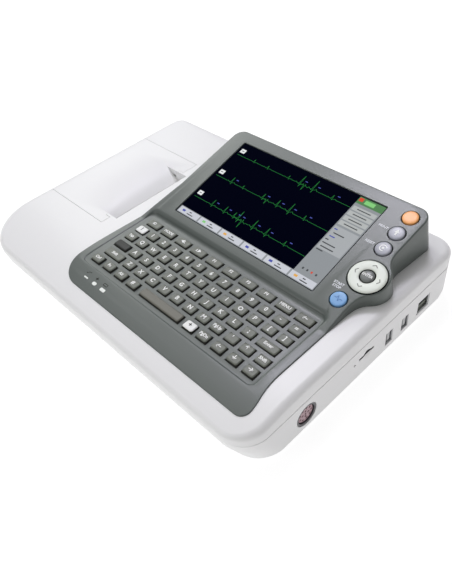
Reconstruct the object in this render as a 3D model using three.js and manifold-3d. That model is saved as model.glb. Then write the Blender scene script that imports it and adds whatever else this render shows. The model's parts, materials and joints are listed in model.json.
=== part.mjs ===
// A desktop three-channel electrocardiograph with a thermal chart printer, a typing keyboard and a
// tilted colour display. Millimetres, +X to the operator's right, +Y to the back, +Z up.
// The origin is at the centre of the footprint, on the surface that the rubber feet stand on.

import * as THREE from 'three';
import { mergeVertices } from 'three/addons/utils/BufferGeometryUtils.js';
import Module from 'manifold-3d';

const wasm = await Module();
wasm.setup();

// ---------------------------------------------------------------- driving dimensions

const GAP = 0.3;
const CUT = 60;

const body = { left: -169, right: 169, front: -121, rear: 121, base: 1, seam: 32, top: 47.6, wall: 2.4 };
const corner = { frontLeft: 46, frontRight: 22, rearRight: 19, rearLeft: 16 };
const shoulder = { left: 13.2, right: 5.3, rear: 8, lip: 3 };
const frontSlope = { start: -64, end: -118, drop: 6.5 };

const TILT = THREE.MathUtils.degToRad(14.7);
const screen = { x: 43.45, y: 45.25, z: 65.72, width: 153.4, height: 91.6 };

const panel = {
  left: -59, front: -106.4, right: 150.1, rear: 105.5, rimInset: 4.6, rise: 0.5, deck: 48.5,
  skin: 2.2, floorBottom: 44.4, draftX: 50, draft: 0.000625,
};
const tray = { left: -51.5, right: 142.5, front: -86, rear: -9 };

const keys = { pitchX: 14.42, pitchY: 11.57, backRow: -19.7, top: 49.6 };
const keyCap = { base: [12.6, 9.8], top: [10.8, 8.0], foot: 43.6, hole: 0.3 };

const roller = { x: -92.5, z: 33, radius: 5, shaft: 2, from: -33.6, to: 45.1 };
const hinge = { x: -162.5, z: 40, pin: 1.2, bore: 1.5, lug: 2.8 };
const roll = { x: -122, z: 26.5, radius: 17.5, core: 6.5, from: -33.8, to: 45.3 };
const door = { right: -79, front: -46.8, rear: 66.1, leftEdge: 37.5, slit: 0.35 };
const notch = { left: -100.2, bottom: -84.7, right: -72, depth: 37.4, from: -35.4, to: 46.9 };
const gears = { module: 0.8, from: 53, to: 58, pinion: 10, idler: 18, platen: 20, tipGap: 0.15 };
const motor = { x: -74, z: 16.2, radius: 8, from: 28, to: 46 };

const buttons = {
  power: { u: 97, v: 45 },
  report: { u: 96.9, v: 28 },
  patient: { u: 96.9, v: 11.4 },
  start: { u: 96.6, v: -40.8 },
  radius: 6.3, flange: 6.7,
};
const nav = { u: 102.2, v: -14.6, outer: 14.5, inner: 6.3, enter: 5.1, cradle: [7, 9] };

const ports = {
  depth: 15,
  ecg: { y: -62.3, z: 16.4, radius: 9.8 },
  card: { y: 3.2, z: 21.2, width: 24, height: 2.6 },
  usbFront: { y: 31.3, z: 14.5, width: 8.2, height: 12.6 },
  usbRear: { y: 51.6, z: 13.9, width: 8.2, height: 12.6 },
  network: { y: 76, z: 14.9, width: 15.8, height: 13 },
};
const microphone = { y: -10.5, z: 19.8, radius: 1.1 };
const stud = { x: 122, z: 14 };
const power = { x: 84, z: 16.5, width: 54, height: 21, inlet: 12, rocker: -15 };
const rockerTilt = THREE.MathUtils.degToRad(7);
const battery = { x0: 12, x1: 92, y0: -52, y1: 6, z0: 5.2, z1: 20.4 };

// ---------------------------------------------------------------- solid helpers

// A closed geometry becomes a solid for joining and cutting, with its faces turned outwards.
function solid(geometry) {
  geometry.deleteAttribute('normal');
  geometry.deleteAttribute('uv');
  const merged = mergeVertices(geometry, 1e-4);
  const vertices = merged.attributes.position.array;
  const kept = [];
  for (let i = 0; i < merged.index.count; i += 3) {
    const [a, b, c] = merged.index.array.slice(i, i + 3);
    if (a !== b && b !== c && c !== a) kept.push(a, b, c);
  }
  if (signedVolume(vertices, kept) < 0) kept.reverse();
  const mesh = new wasm.Mesh({
    numProp: 3, vertProperties: new Float32Array(vertices), triVerts: new Uint32Array(kept),
  });
  return new wasm.Manifold(mesh);
}

function signedVolume(vertices, triangles) {
  let sum = 0;
  const [a, b, c] = [new THREE.Vector3(), new THREE.Vector3(), new THREE.Vector3()];
  for (let i = 0; i < triangles.length; i += 3) {
    a.fromArray(vertices, triangles[i] * 3);
    b.fromArray(vertices, triangles[i + 1] * 3);
    c.fromArray(vertices, triangles[i + 2] * 3);
    sum += a.dot(b.cross(c));
  }
  return sum;
}

function geometryOf(manifold) {
  const mesh = manifold.getMesh();
  const geometry = new THREE.BufferGeometry();
  geometry.setAttribute('position', new THREE.BufferAttribute(mesh.vertProperties, 3));
  geometry.setIndex(new THREE.BufferAttribute(mesh.triVerts, 1));
  geometry.computeVertexNormals();
  return geometry;
}

function join(first, ...others) {
  return others.reduce((sum, other) => sum.add(other), first);
}

function cut(first, ...others) {
  return others.reduce((rest, other) => rest.subtract(other), first);
}

function box(x0, x1, y0, y1, z0, z1) {
  const geometry = new THREE.BoxGeometry(x1 - x0, y1 - y0, z1 - z0);
  return solid(geometry.translate((x0 + x1) / 2, (y0 + y1) / 2, (z0 + z1) / 2));
}

const AXIS = {
  x: new THREE.Vector3(1, 0, 0),
  y: new THREE.Vector3(0, 1, 0),
  z: new THREE.Vector3(0, 0, 1),
};

const BASIS = {
  x: new THREE.Matrix4().makeBasis(AXIS.y, AXIS.z, AXIS.x),
  y: new THREE.Matrix4().makeBasis(AXIS.x, AXIS.z, AXIS.y),
  z: new THREE.Matrix4(),
};

// A flat shape pushed along one axis. Its two coordinates are the other two axes, in X, Y, Z order.
function prism(shape, axis, from, to, curveSegments = 3) {
  const geometry = new THREE.ExtrudeGeometry(shape, { depth: to - from, bevelEnabled: false, curveSegments });
  return solid(geometry.translate(0, 0, from).applyMatrix4(BASIS[axis]));
}

// A round bar along one axis. Its centre is given by the other two coordinates, in X, Y, Z order.
function rod(axis, centreA, centreB, radius, from, to, sides = 24) {
  const shape = new THREE.Shape().absarc(centreA, centreB, radius, 0, 2 * Math.PI);
  return prism(shape, axis, from, to, sides / 2);
}

// A profile of [radius, height] points turned about the vertical axis through x, y.
function turned(profile, x, y, sides = 32) {
  const points = profile.map(([radius, height]) => new THREE.Vector2(radius, height));
  const geometry = new THREE.LatheGeometry(points, sides).rotateX(Math.PI / 2);
  return solid(geometry.translate(x, y, 0));
}

function polygon(points) {
  return new THREE.Shape(points.map(([a, b]) => new THREE.Vector2(a, b)));
}

// ---------------------------------------------------------------- shapes of the case and the panel

// The case seen from above. The lower levels of the case stand further in at the front, sides and rear.
function planOutline(inset, level = { front: 0, sides: 0, rear: 0 }) {
  const [x0, x1] = [body.left + inset + level.sides, body.right - inset - level.sides];
  const [y0, y1] = [body.front + inset + level.front, body.rear - inset - level.rear];
  const [fl, fr, rr, rl] = [corner.frontLeft, corner.frontRight, corner.rearRight, corner.rearLeft]
    .map((radius) => radius - inset);
  const shape = new THREE.Shape();
  shape.moveTo(x0 + fl, y0);
  shape.absarc(x1 - fr, y0 + fr, fr, -Math.PI / 2, 0);
  shape.absarc(x1 - rr, y1 - rr, rr, 0, Math.PI / 2);
  shape.absarc(x0 + rl, y1 - rl, rl, Math.PI / 2, Math.PI);
  shape.absarc(x0 + fl, y0 + fl, fl, Math.PI, 1.5 * Math.PI);
  return shape;
}

// Height of the white cover over the length of the machine: flat, then falling gently to the front lip.
function coverHeight(y) {
  const t = THREE.MathUtils.clamp((frontSlope.start - y) / (frontSlope.start - frontSlope.end), 0, 1);
  return body.top - frontSlope.drop * t * t;
}

function slopeSteps(from, to, count) {
  return Array.from({ length: count + 1 }, (_, i) => THREE.MathUtils.lerp(from, to, i / count));
}

function upperBlock(inset, bottom) {
  const [left, right] = [body.left + inset, body.right - inset];
  const [front, rear] = [body.front + inset, body.rear - inset];
  const top = body.top - inset;
  const radii = [shoulder.left, shoulder.right, shoulder.rear, shoulder.lip];
  const [rl, rr, rb, lip] = radii.map((r) => r - inset);

  const across = new THREE.Shape();
  across.moveTo(left, bottom);
  across.lineTo(right, bottom);
  across.absarc(right - rr, top - rr, rr, 0, Math.PI / 2);
  across.absarc(left + rl, top - rl, rl, Math.PI / 2, Math.PI);

  const along = new THREE.Shape();
  along.moveTo(rear, bottom);
  along.lineTo(front, bottom);
  along.absarc(front + lip, coverHeight(frontSlope.end) - inset - lip, lip, Math.PI, Math.PI / 2, true);
  for (const y of slopeSteps(frontSlope.end, frontSlope.start, 5)) along.lineTo(y, coverHeight(y) - inset);
  along.absarc(rear - rb, top - rb, rb, Math.PI / 2, 0, true);

  return prism(planOutline(inset), 'z', bottom, body.top + 1)
    .intersect(prism(across, 'y', body.front - 1, body.rear + 1))
    .intersect(prism(along, 'x', body.left - 1, body.right + 1));
}

// How far each level of the lower case stands in from the plan outline, from its base to its rim.
const lowerLevels = [
  { z: body.base, front: 15, sides: 1.5, rear: 5 },
  { z: body.base + 1.5, front: 13.3, sides: 0, rear: 3.5 },
  { z: 4, front: 11.5, sides: 0, rear: 2 },
  { z: 6, front: 10.5, sides: 0, rear: 0 },
  { z: 24, front: 2, sides: 0, rear: 0 },
  { z: body.seam, front: 0.4, sides: 0, rear: 0 },
];

// The lower case tapers evenly between its levels, and bulges outwards everywhere, so a hull gives its shape.
function lowerBlock(inset, top) {
  const rim = { ...lowerLevels.at(-1), z: top };
  const corners = [...lowerLevels, rim].flatMap((level) => (
    planOutline(inset, level).getPoints(3).map(({ x, y }) => [x, y, Math.max(level.z, body.base + inset)])
  ));
  return wasm.Manifold.hull(corners);
}

// The grey panel seen from above: the keyboard end is a little wider than the display end, and a round
// bulge on the right carries the navigation ring.
function panelOutline() {
  const shape = new THREE.Shape();
  const bulge = { x: 145.2, y: 34, radius: 17.8, from: -0.83, to: 0.86 };
  const { x, y, radius, from } = bulge;
  const bulgeStart = [x + radius * Math.cos(from), y + radius * Math.sin(from)];
  const toe = { x: 146.9, radius: 7.4 };
  shape.moveTo(panel.left + 24, panel.front);
  shape.lineTo(toe.x, panel.front);
  shape.absarc(toe.x, panel.front + toe.radius, toe.radius, -Math.PI / 2, 0);
  shape.bezierCurveTo(toe.x + toe.radius, -91, panel.right, -84, panel.right, -68);
  shape.lineTo(panel.right, 2);
  shape.bezierCurveTo(150.5, 13, 153.2, 17.5, ...bulgeStart);
  shape.absarc(x, y, radius, from, bulge.to);
  shape.bezierCurveTo(153.6, 51.6, 152.2, 55, 152.3, 61);
  shape.lineTo(154.2, panel.rear - 10);
  shape.absarc(144.2, panel.rear - 10, 10, 0, Math.PI / 2);
  shape.absarc(-42, panel.rear - 10, 10, Math.PI / 2, Math.PI);
  shape.lineTo(-52.6, 28);
  shape.bezierCurveTo(-54.6, 8, -57.6, -20, panel.left, -72);
  shape.absarc(panel.left + 24, panel.front + 24, 24, Math.PI, 1.5 * Math.PI);
  return shape.getPoints(3);
}

// Moves every corner of a closed anticlockwise outline inwards by the same distance.
function shrink(points, distance) {
  const ring = points.filter((p, i) => p.distanceTo(points[(i + 1) % points.length]) > 1e-3);
  const side = (a, b) => new THREE.Vector2(a.y - b.y, b.x - a.x).normalize();
  return ring.map((p, i) => {
    const before = side(ring[(i + ring.length - 1) % ring.length], p);
    const after = side(p, ring[(i + 1) % ring.length]);
    const inward = before.add(after).normalize();
    return p.clone().addScaledVector(inward, distance);
  });
}

// The panel's walls lean inwards towards the top, about its front edge.
function draftedPrism(points, z0, z1) {
  const options = { depth: z1 - z0, bevelEnabled: false };
  const geometry = new THREE.ExtrudeGeometry(new THREE.Shape(points), options).translate(0, 0, z0);
  const position = geometry.attributes.position;
  for (let i = 0; i < position.count; i += 1) {
    const scale = 1 - panel.draft * (position.getZ(i) - body.top);
    position.setX(i, panel.draftX + (position.getX(i) - panel.draftX) * scale);
    position.setY(i, panel.front + (position.getY(i) - panel.front) * scale);
  }
  return solid(geometry);
}

function displayHeight(y) {
  return screen.z + (y - screen.y) * Math.tan(TILT);
}

function panelHeight(y) {
  const deck = y > frontSlope.start ? panel.deck : coverHeight(y) + panel.rise;
  return Math.max(deck, displayHeight(y));
}

// ---------------------------------------------------------------- placing

const machine = new THREE.Group();

// The display and its buttons lie on one tilted plane, whose frame is centred on the screen.
const display = new THREE.Group();
display.position.set(screen.x, screen.y, screen.z);
display.rotation.x = TILT;
display.updateMatrix();
machine.add(display);

function toDisplay(manifold) {
  return manifold.transform(display.matrix.elements);
}

function plastic(color, roughness = 0.45) {
  return new THREE.MeshStandardMaterial({ color, roughness, metalness: 0 });
}

function metal(color, roughness = 0.35) {
  return new THREE.MeshStandardMaterial({ color, roughness, metalness: 1 });
}

const paint = {
  white: () => plastic(0xeff0ee, 0.4),
  grey: () => plastic(0x6f7773, 0.42),
  key: () => plastic(0x66665c, 0.5),
  board: () => plastic(0x1f5a35, 0.5),
  rubber: () => plastic(0x2a2a2a, 0.85),
  acetal: () => plastic(0xe8e4d8, 0.5),
  black: () => plastic(0x1a1b1c, 0.4),
  steel: () => metal(0xb9bcbe),
  brass: () => metal(0xc2a15a),
};

function place(name, manifold, material, parent = machine) {
  const mesh = new THREE.Mesh(geometryOf(manifold), material);
  mesh.name = name;
  parent.add(mesh);
}

// ---------------------------------------------------------------- upper case and printer door

const screwPlaces = {
  front_left: [-132, -82],
  front_right: [157, -97],
  rear_right: [160, 95],
  rear_left: [-148, 96],
};

// The V-shaped paper exit from the front. Growing it outwards gives the skin around it.
function notchProfile(grow) {
  const [left, right] = [notch.left - 1.5 * grow, notch.right + 1.5 * grow];
  const deepest = [notch.bottom, notch.depth - 1.2 * grow];
  return polygon([[left, CUT], [left, body.top], deepest, [right, body.top], [right, CUT]]);
}

// The upper shell with the sunken paper exit pressed into it, before the door is cut out of it.
function coverShell() {
  const exitWalls = prism(notchProfile(body.wall), 'y', notch.from - 2.2, notch.to + 2.2);
  const hollow = upperBlock(body.wall, body.seam - 1).subtract(exitWalls);
  const exit = prism(notchProfile(0), 'y', notch.from, notch.to);
  return cut(upperBlock(0, body.seam + GAP), hollow, exit);
}

// The part of the upper shell that lifts as the door. Grown by the slit, it is what the shell loses.
function doorRegion(grow) {
  const [y0, y1] = [door.front - grow, door.rear + grow];
  const hingeRelief = grow ? 3.6 : 0;
  const lid = box(-160, door.right + grow, y0, y1, 30, CUT);
  const side = box(body.left - 1, -159, y0, y1, door.leftEdge - hingeRelief, CUT);
  const ramp = box(notch.bottom - 0.3 + grow, 0, notch.from - 2.5 + grow, notch.to + 2.5 - grow, 0, CUT);
  return join(lid, side).subtract(ramp);
}

function hingeEar(y0, y1) {
  const barrel = rod('y', hinge.x, hinge.z, hinge.lug, y0, y1);
  const web = box(body.left - 1, hinge.x, y0, y1, hinge.z - 2, hinge.z + 2);
  const bore = rod('y', hinge.x, hinge.z, hinge.bore, y0 - 1, y1 + 1);
  return join(barrel, web).intersect(upperBlock(0.4, body.seam)).subtract(bore);
}

function buildPrinterDoor(shell) {
  const armZ = 26;
  const arm = (y0, y1) => box(roller.x - 5, roller.x + 4, y0, y1, armZ, notch.depth + 5)
    .subtract(rod('y', roller.x, roller.z, roller.shaft + GAP, y0 - 1, y1 + 1));
  const lid = join(
    shell.intersect(doorRegion(0)),
    arm(notch.from - 2.2, notch.from),
    arm(notch.to, notch.to + 2.2),
    hingeEar(-40, -34),
    hingeEar(52, 58),
  );
  const exit = prism(notchProfile(0), 'y', notch.from, notch.to);
  place('printer_door', lid.subtract(exit), paint.white());
}

function buildUpperCase(shell) {
  const boardBay = prism(new THREE.Shape(shrink(panelOutline(), panel.rimInset)), 'z', body.seam, CUT);
  const posts = Object.values(screwPlaces).map(([x, y]) => cut(
    rod('z', x, y, 4, body.seam + 1, coverHeight(y) - 1, 16),
    rod('z', x, y, 1.8, body.seam, 41.4, 16),
  ));
  const cover = join(
    cut(shell, doorRegion(door.slit), boardBay),
    hingeEar(-53, -48),
    hingeEar(67.5, 72.5),
    ...posts,
  );
  place('upper_case', cover, paint.white());
}

function buildHingePin() {
  place('door_hinge_pin', rod('y', hinge.x, hinge.z, hinge.pin, -52, 71.5, 12), paint.steel());
}

// ---------------------------------------------------------------- lower case

function sidePort({ y, z, width, height }, grow = GAP) {
  const [w, h] = [width / 2 + grow, height / 2 + grow];
  return box(body.right - 8, body.right + 5, y - w, y + w, z - h, z + h);
}

function rearPort({ x, z, width, height }, grow = GAP) {
  const [w, h] = [width / 2 + grow, height / 2 + grow];
  return box(x - w, x + w, body.rear - 8, body.rear + 5, z - h, z + h);
}

const feet = {
  front_left: [-112, -92],
  front_right: [134, -92],
  rear_right: [150, 106],
  rear_left: [-150, 106],
};
const speaker = { x: -92, y: -76, radius: 17 };

function buildLowerCase() {
  const shell = lowerBlock(0, body.seam).subtract(lowerBlock(body.wall, body.seam + 1));
  const posts = Object.values(screwPlaces).map(([x, y]) => (
    rod('z', x, y, 4, body.base + 1, body.seam - 2, 16)
  ));
  const openings = [
    sidePort(ports.card), sidePort(ports.usbFront), sidePort(ports.usbRear), sidePort(ports.network),
    rearPort(power),
    rod('x', ports.ecg.y, ports.ecg.z, ports.ecg.radius + GAP, body.right - 8, body.right + 5, 32),
    rod('x', microphone.y, microphone.z, microphone.radius, body.right - 8, body.right + 5, 12),
    rod('y', stud.x, stud.z, 3.4, body.rear - 8, body.rear + 5, 16),
    box(battery.x0 - 4, battery.x1 + 4, battery.y0 - 4, battery.y1 + 4, -1, 10),
  ];
  for (const [x, y] of Object.values(screwPlaces)) {
    openings.push(rod('z', x, y, 1.8, -1, CUT, 16), rod('z', x, y, 3.3, -1, 5, 16));
  }
  for (const [x, y] of Object.values(feet)) openings.push(rod('z', x, y, 7.3, -1, body.base + 1, 20));
  for (let i = -2; i <= 2; i += 1) {
    openings.push(box(speaker.x - 11, speaker.x + 11, speaker.y + 5 * i - 1, speaker.y + 5 * i + 1, -1, 8));
  }
  place('lower_case', cut(join(shell, ...posts), ...openings), paint.white());
}

function buildFeetAndScrews() {
  const footTop = body.base + 0.7;
  const footProfile = [[0, 0], [6, 0], [7, 0.8], [7, footTop], [0, footTop]];
  for (const [where, [x, y]] of Object.entries(feet)) {
    place(`foot_${where}`, turned(footProfile, x, y, 14), paint.rubber());
  }
  for (const [where, [x, y]] of Object.entries(screwPlaces)) {
    const profile = [[0, 2.5], [3, 2.5], [3, 4.7], [1.5, 4.7], [1.5, 40.5], [0, 41]];
    place(`case_screw_${where}`, turned(profile, x, y, 10), paint.steel());
  }
}

function buildBattery() {
  const { x0, x1, y0, y1, z0, z1 } = battery;
  const edge = 4 - GAP;
  const lid = box(x0 - edge, x1 + edge, y0 - edge, y1 + edge, body.base, body.base + 2.2);
  place('battery_cover', lid, paint.white());
  place('battery_pack', box(x0, x1, y0, y1, z0, z1), plastic(0x2c4f86, 0.5));
}

// ---------------------------------------------------------------- control panel and display

// Runs of equal keys. Line 0 is at the back, and x is the middle of the run's first key.
const keyRows = [
  { name: 'function', line: 0, x: -36.9, count: 10, pitch: 18.68, width: 16.6 },
  { name: 'number', line: 1, x: -25.5, count: 12 },
  { name: 'upper_letter', line: 2, x: -39.9, count: 13 },
  { name: 'home_letter', line: 3, x: -19.9, count: 10, wide: { x: 128.3, width: 20 } },
  { name: 'lower_letter', line: 4, x: -12.6, count: 11, pitch: 14.66, wide: { x: -32.4, width: 22.6 } },
  { name: 'modifier', line: 5, x: -39.4, count: 4, pitch: 15.5, width: 13.4 },
  { name: 'arrow', line: 5, x: 88.3, count: 4, pitch: 15.2 },
];

const singleKeys = [
  { name: 'white_key_back', line: 1, x: -39.9, color: 0xe9e9e4 },
  { name: 'blank_key', line: 3, x: -36.8, width: 18.2, color: 0x47474a },
  { name: 'space_bar', line: 5, x: 41.2, width: 47.6, color: 0x6e6a58 },
  { name: 'white_key_front', line: 5, x: 73.8, color: 0xe9e9e4 },
];

function rowY(line) {
  return keys.backRow - line * keys.pitchY;
}

function keysInRow({ line, x, count, pitch = keys.pitchX, width, wide }) {
  const run = Array.from({ length: count }, (_, i) => ({ line, x: x + i * pitch, width }));
  if (wide) run.push({ line, ...wide });
  return run.sort((a, b) => a.x - b.x);
}

function keyHole({ x, line, width = keyCap.base[0] }) {
  const [w, d] = [width / 2 + keyCap.hole, keyCap.base[1] / 2 + keyCap.hole];
  return box(x - w, x + w, rowY(line) - d, rowY(line) + d, 40, CUT);
}

// A cap that narrows from its foot to its top.
function keyShape({ x, line, width = keyCap.base[0] }) {
  const rise = keys.top - keyCap.foot;
  const cap = new THREE.BoxGeometry(width, keyCap.base[1], rise);
  const taper = [keyCap.base[0] - keyCap.top[0], keyCap.base[1] - keyCap.top[1]];
  const position = cap.attributes.position;
  for (let i = 0; i < position.count; i += 1) {
    if (position.getZ(i) < 0) continue;
    position.setX(i, Math.sign(position.getX(i)) * (width - taper[0]) / 2);
    position.setY(i, Math.sign(position.getY(i)) * (keyCap.base[1] - taper[1]) / 2);
  }
  return solid(cap.translate(x, rowY(line), keyCap.foot + rise / 2));
}

function buildKeys() {
  for (const row of keyRows) {
    const run = keysInRow(row);
    const y = rowY(row.line);
    const [x0, x1] = [run[0].x - 4, run.at(-1).x + 4];
    const carrier = box(x0, x1, y - 2.5, y + 2.5, keyCap.foot - 1, keyCap.foot + 0.1);
    place(`${row.name}_key_row`, join(carrier, ...run.map(keyShape)), paint.key());
  }
  for (const key of singleKeys) place(key.name, keyShape(key), plastic(key.color, 0.5));
}

const lamps = { y: -96.5, x: [-31.1, -19.8, -8.7], radius: 1.7 };

function panelBlock(points, heights) {
  return draftedPrism(points, 36, 90).intersect(prism(polygon(heights), 'x', body.left, body.right));
}

function buildControlPanel() {
  const outline = panelOutline();
  const steps = slopeSteps(panel.front - 3, frontSlope.start, 5);
  const topLine = [...steps.map((y) => [y, panelHeight(y)]), [frontSlope.start + 0.01, panel.deck],
    [screen.y + (panel.deck - screen.z) / Math.tan(TILT), panel.deck], [116, displayHeight(116)]];
  const seat = steps.map((y) => [y, coverHeight(y) + GAP]).reverse();
  const skin = panelBlock(outline, [...topLine, [116, body.top + GAP], ...seat]);
  const under = [[116, panel.floorBottom], [tray.front, panel.floorBottom], [panel.front - 3, 41.6]];
  const plug = panelBlock(shrink(outline, panel.rimInset + 3 * GAP), [...topLine, ...under]);

  const inside = polygon([[tray.rear + 2.4, 30], [tray.rear + 2.4, displayHeight(tray.rear + 2.4) - 2.4],
    [panel.rear - 8, displayHeight(panel.rear - 8) - 2.4], [panel.rear - 8, 30]]);
  const wide = draftedPrism(shrink(outline, 1.7), body.top + 1.1, 90);
  const bay = new THREE.Shape(shrink(outline, panel.rimInset + 3 * GAP + 1));
  const narrow = prism(bay, 'z', 30, body.top + 1.2);
  const hollow = join(wide, narrow).intersect(prism(inside, 'x', body.left, body.right));

  const openings = [
    box(tray.left, tray.right, tray.front, tray.rear, 30, CUT),
    toDisplay(box(-screen.width / 2, screen.width / 2, -screen.height / 2, screen.height / 2, -6, 9)),
    toDisplay(rod('z', nav.u, nav.v, nav.outer + 0.6, -9, 9, 28)),
    ...['power', 'report', 'patient', 'start'].map((name) => {
      const { u, v } = buttons[name];
      return toDisplay(rod('z', u, v, buttons.radius + 0.35, -9, 9, 20));
    }),
    ...lamps.x.map((x) => rod('z', x, lamps.y, lamps.radius + GAP, 30, CUT, 10)),
  ];
  place('control_panel', cut(join(skin, plug), hollow, ...openings), paint.grey());
}

function trayBlock(grow, z0, z1) {
  return box(tray.left - grow, tray.right + grow, tray.front - grow, tray.rear + grow, z0, z1);
}

// The sunken floor that guides the keys. Its top is level with the white cover, it fills the panel's window,
// and its lip is held under the panel.
function buildKeyboardFrame() {
  const steps = slopeSteps(tray.front - 2, frontSlope.start, 4).map((y) => [y, coverHeight(y)]);
  const [front, rear] = [tray.front - 2, tray.rear + 2];
  const surface = polygon([[rear, 30], [rear, body.top], ...steps.reverse(), [front, 30]]);
  const under = prism(surface, 'x', body.left, body.right);
  const floor = trayBlock(-GAP, panel.floorBottom, CUT).intersect(under);
  const rim = trayBlock(-GAP, panel.floorBottom - 1.5, panel.floorBottom + 1);
  const lip = trayBlock(1.5, panel.floorBottom - 1.5, panel.floorBottom - GAP);
  const middle = trayBlock(-2.3, panel.floorBottom - 2, panel.floorBottom);
  const holes = [...keyRows.flatMap(keysInRow), ...singleKeys].map(keyHole);
  place('keyboard_frame', cut(join(floor, join(rim, lip).subtract(middle)), ...holes), paint.grey());
}

function buildIndicatorLights() {
  const bar = box(lamps.x[0] - 3, lamps.x[2] + 3, lamps.y - 2, lamps.y + 2, 40.2, 41.4);
  const lenses = lamps.x.map((x) => rod('z', x, lamps.y, lamps.radius, 41, panelHeight(lamps.y) + 0.2, 10));
  place('indicator_light_guide', join(bar, ...lenses), plastic(0xf4f6f2, 0.2));
}

function buildDisplay() {
  const [w, h] = [screen.width / 2, screen.height / 2];
  const pane = box(-w - 3.4, w + 3.4, -h - 3.4, h + 2.6, -3.8, -2.7);
  place('touch_screen', pane, plastic(0x05070c, 0.12), display);
  place('lcd_module', box(-w - 4.4, w + 4.4, -h - 4, h + 2.4, -9.6, -4.1), paint.black(), display);
  place('button_board', box(w + 7, w + 20, -h + 2, h + 3, -9.4, -7.8), paint.board(), display);
}

// A round key: domed top, straight barrel and a flange that keeps it under the panel.
function roundButton(u, v, radius, flange) {
  const profile = [[0, -6.2], [2.4, -6.2], [2.4, -3.9], [flange, -3.9], [flange, -2.9], [radius, -2.9],
    [radius, 1.1], [radius - 0.8, 1.8], [0, 2.1]];
  return turned(profile, u, v, 16);
}

// The four round buttons, and the navigation ring, which rocks on its cradle above the panel's face.
function buildButtons() {
  const colors = { power: 0xf6b97c, report: 0x8d9198, patient: 0x8d9198, start: 0x86b3e6 };
  for (const [name, color] of Object.entries(colors)) {
    const { u, v } = buttons[name];
    place(`${name}_button`, roundButton(u, v, buttons.radius, buttons.flange), plastic(color, 0.35), display);
  }
  place('enter_button', roundButton(nav.u, nav.v, nav.enter, nav.enter), plastic(0x7f8380, 0.35), display);
  const ring = [[nav.inner, 0.7], [nav.outer, 0.7], [nav.outer, 1.3], [nav.outer - 0.8, 1.8],
    [nav.inner + 0.6, 1.6], [nav.inner, 1.1], [nav.inner, 0.7]];
  place('navigation_ring', turned(ring, nav.u, nav.v, 24), plastic(0xe6eadf, 0.4), display);
  const [bore, rim] = nav.cradle;
  const cradle = [[bore, -5.8], [rim, -5.8], [rim, 0.2], [bore, 0.2], [bore, -5.8]];
  place('navigation_cradle', turned(cradle, nav.u, nav.v, 16), paint.black(), display);
}

// ---------------------------------------------------------------- printer

function buildPrinterFrame() {
  const [x0, x1, y0, y1] = [-146, -62, -40.3, 51.8];
  const wall = (a, b, c, d, top) => box(a, b, c, d, 6.5, top);
  const plates = join(
    wall(x0, x1, y0, y1 + 10, 8.2),
    wall(x0, x1, y0, y0 + 2, 28),
    wall(x0, x1, y1 - 2, y1, 28),
    wall(x0, x0 + 2, y0, y1, 24),
    wall(-103.4, -101.4, y0, y1, 20),
    wall(x1 - 2, x1, y0, y1, 30),
    wall(roller.x - 8, x1, y0, y0 + 2, 37),
    wall(roller.x - 8, x1, y1 - 2, y1, 37),
  );
  const shaftSlot = box(roller.x - 3.2, roller.x + 3.2, y0 - 1, y1 + 1, roller.z - 3, CUT);
  const idlerHole = rod('y', idlerCentre.x, idlerCentre.z, 1.8, 40, y1 + 1, 14);
  const motorHole = rod('y', motor.x, motor.z, 2.2, 40, y1 + 1, 14);
  place('printer_frame', cut(plates, shaftSlot, idlerHole, motorHole), paint.black());
}

// The idler wheel sits where it is in mesh with both the motor pinion and the platen gear.
const idlerCentre = (() => {
  const pitch = (teeth) => (teeth * gears.module) / 2;
  const fromMotor = pitch(gears.pinion) + pitch(gears.idler);
  const fromPlaten = pitch(gears.platen) + pitch(gears.idler);
  const along = new THREE.Vector2(roller.x - motor.x, roller.z - motor.z);
  const span = along.length();
  along.normalize();
  const reach = (fromMotor ** 2 - fromPlaten ** 2 + span ** 2) / (2 * span);
  const aside = Math.sqrt(fromMotor ** 2 - reach ** 2);
  return {
    x: motor.x + along.x * reach - along.y * aside,
    z: motor.z + along.y * reach + along.x * aside,
  };
})();

// A spur gear along Y. Its teeth stop just short of the pitch circle, so that meshing gears stay clear.
function gear(x, z, teeth, bore) {
  const outer = (teeth * gears.module) / 2 - gears.tipGap;
  const root = outer - 1.1;
  const points = [];
  for (let i = 0; i < teeth; i += 1) {
    for (const [offset, radius] of [[0.1, root], [0.3, outer], [0.6, outer], [0.8, root]]) {
      const angle = ((i + offset) * 2 * Math.PI) / teeth;
      points.push([x + radius * Math.cos(angle), z + radius * Math.sin(angle)]);
    }
  }
  const wheel = prism(polygon(points), 'y', gears.from, gears.to);
  return bore ? wheel.subtract(rod('y', x, z, bore, gears.from - 1, gears.to + 1, 16)) : wheel;
}

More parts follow.
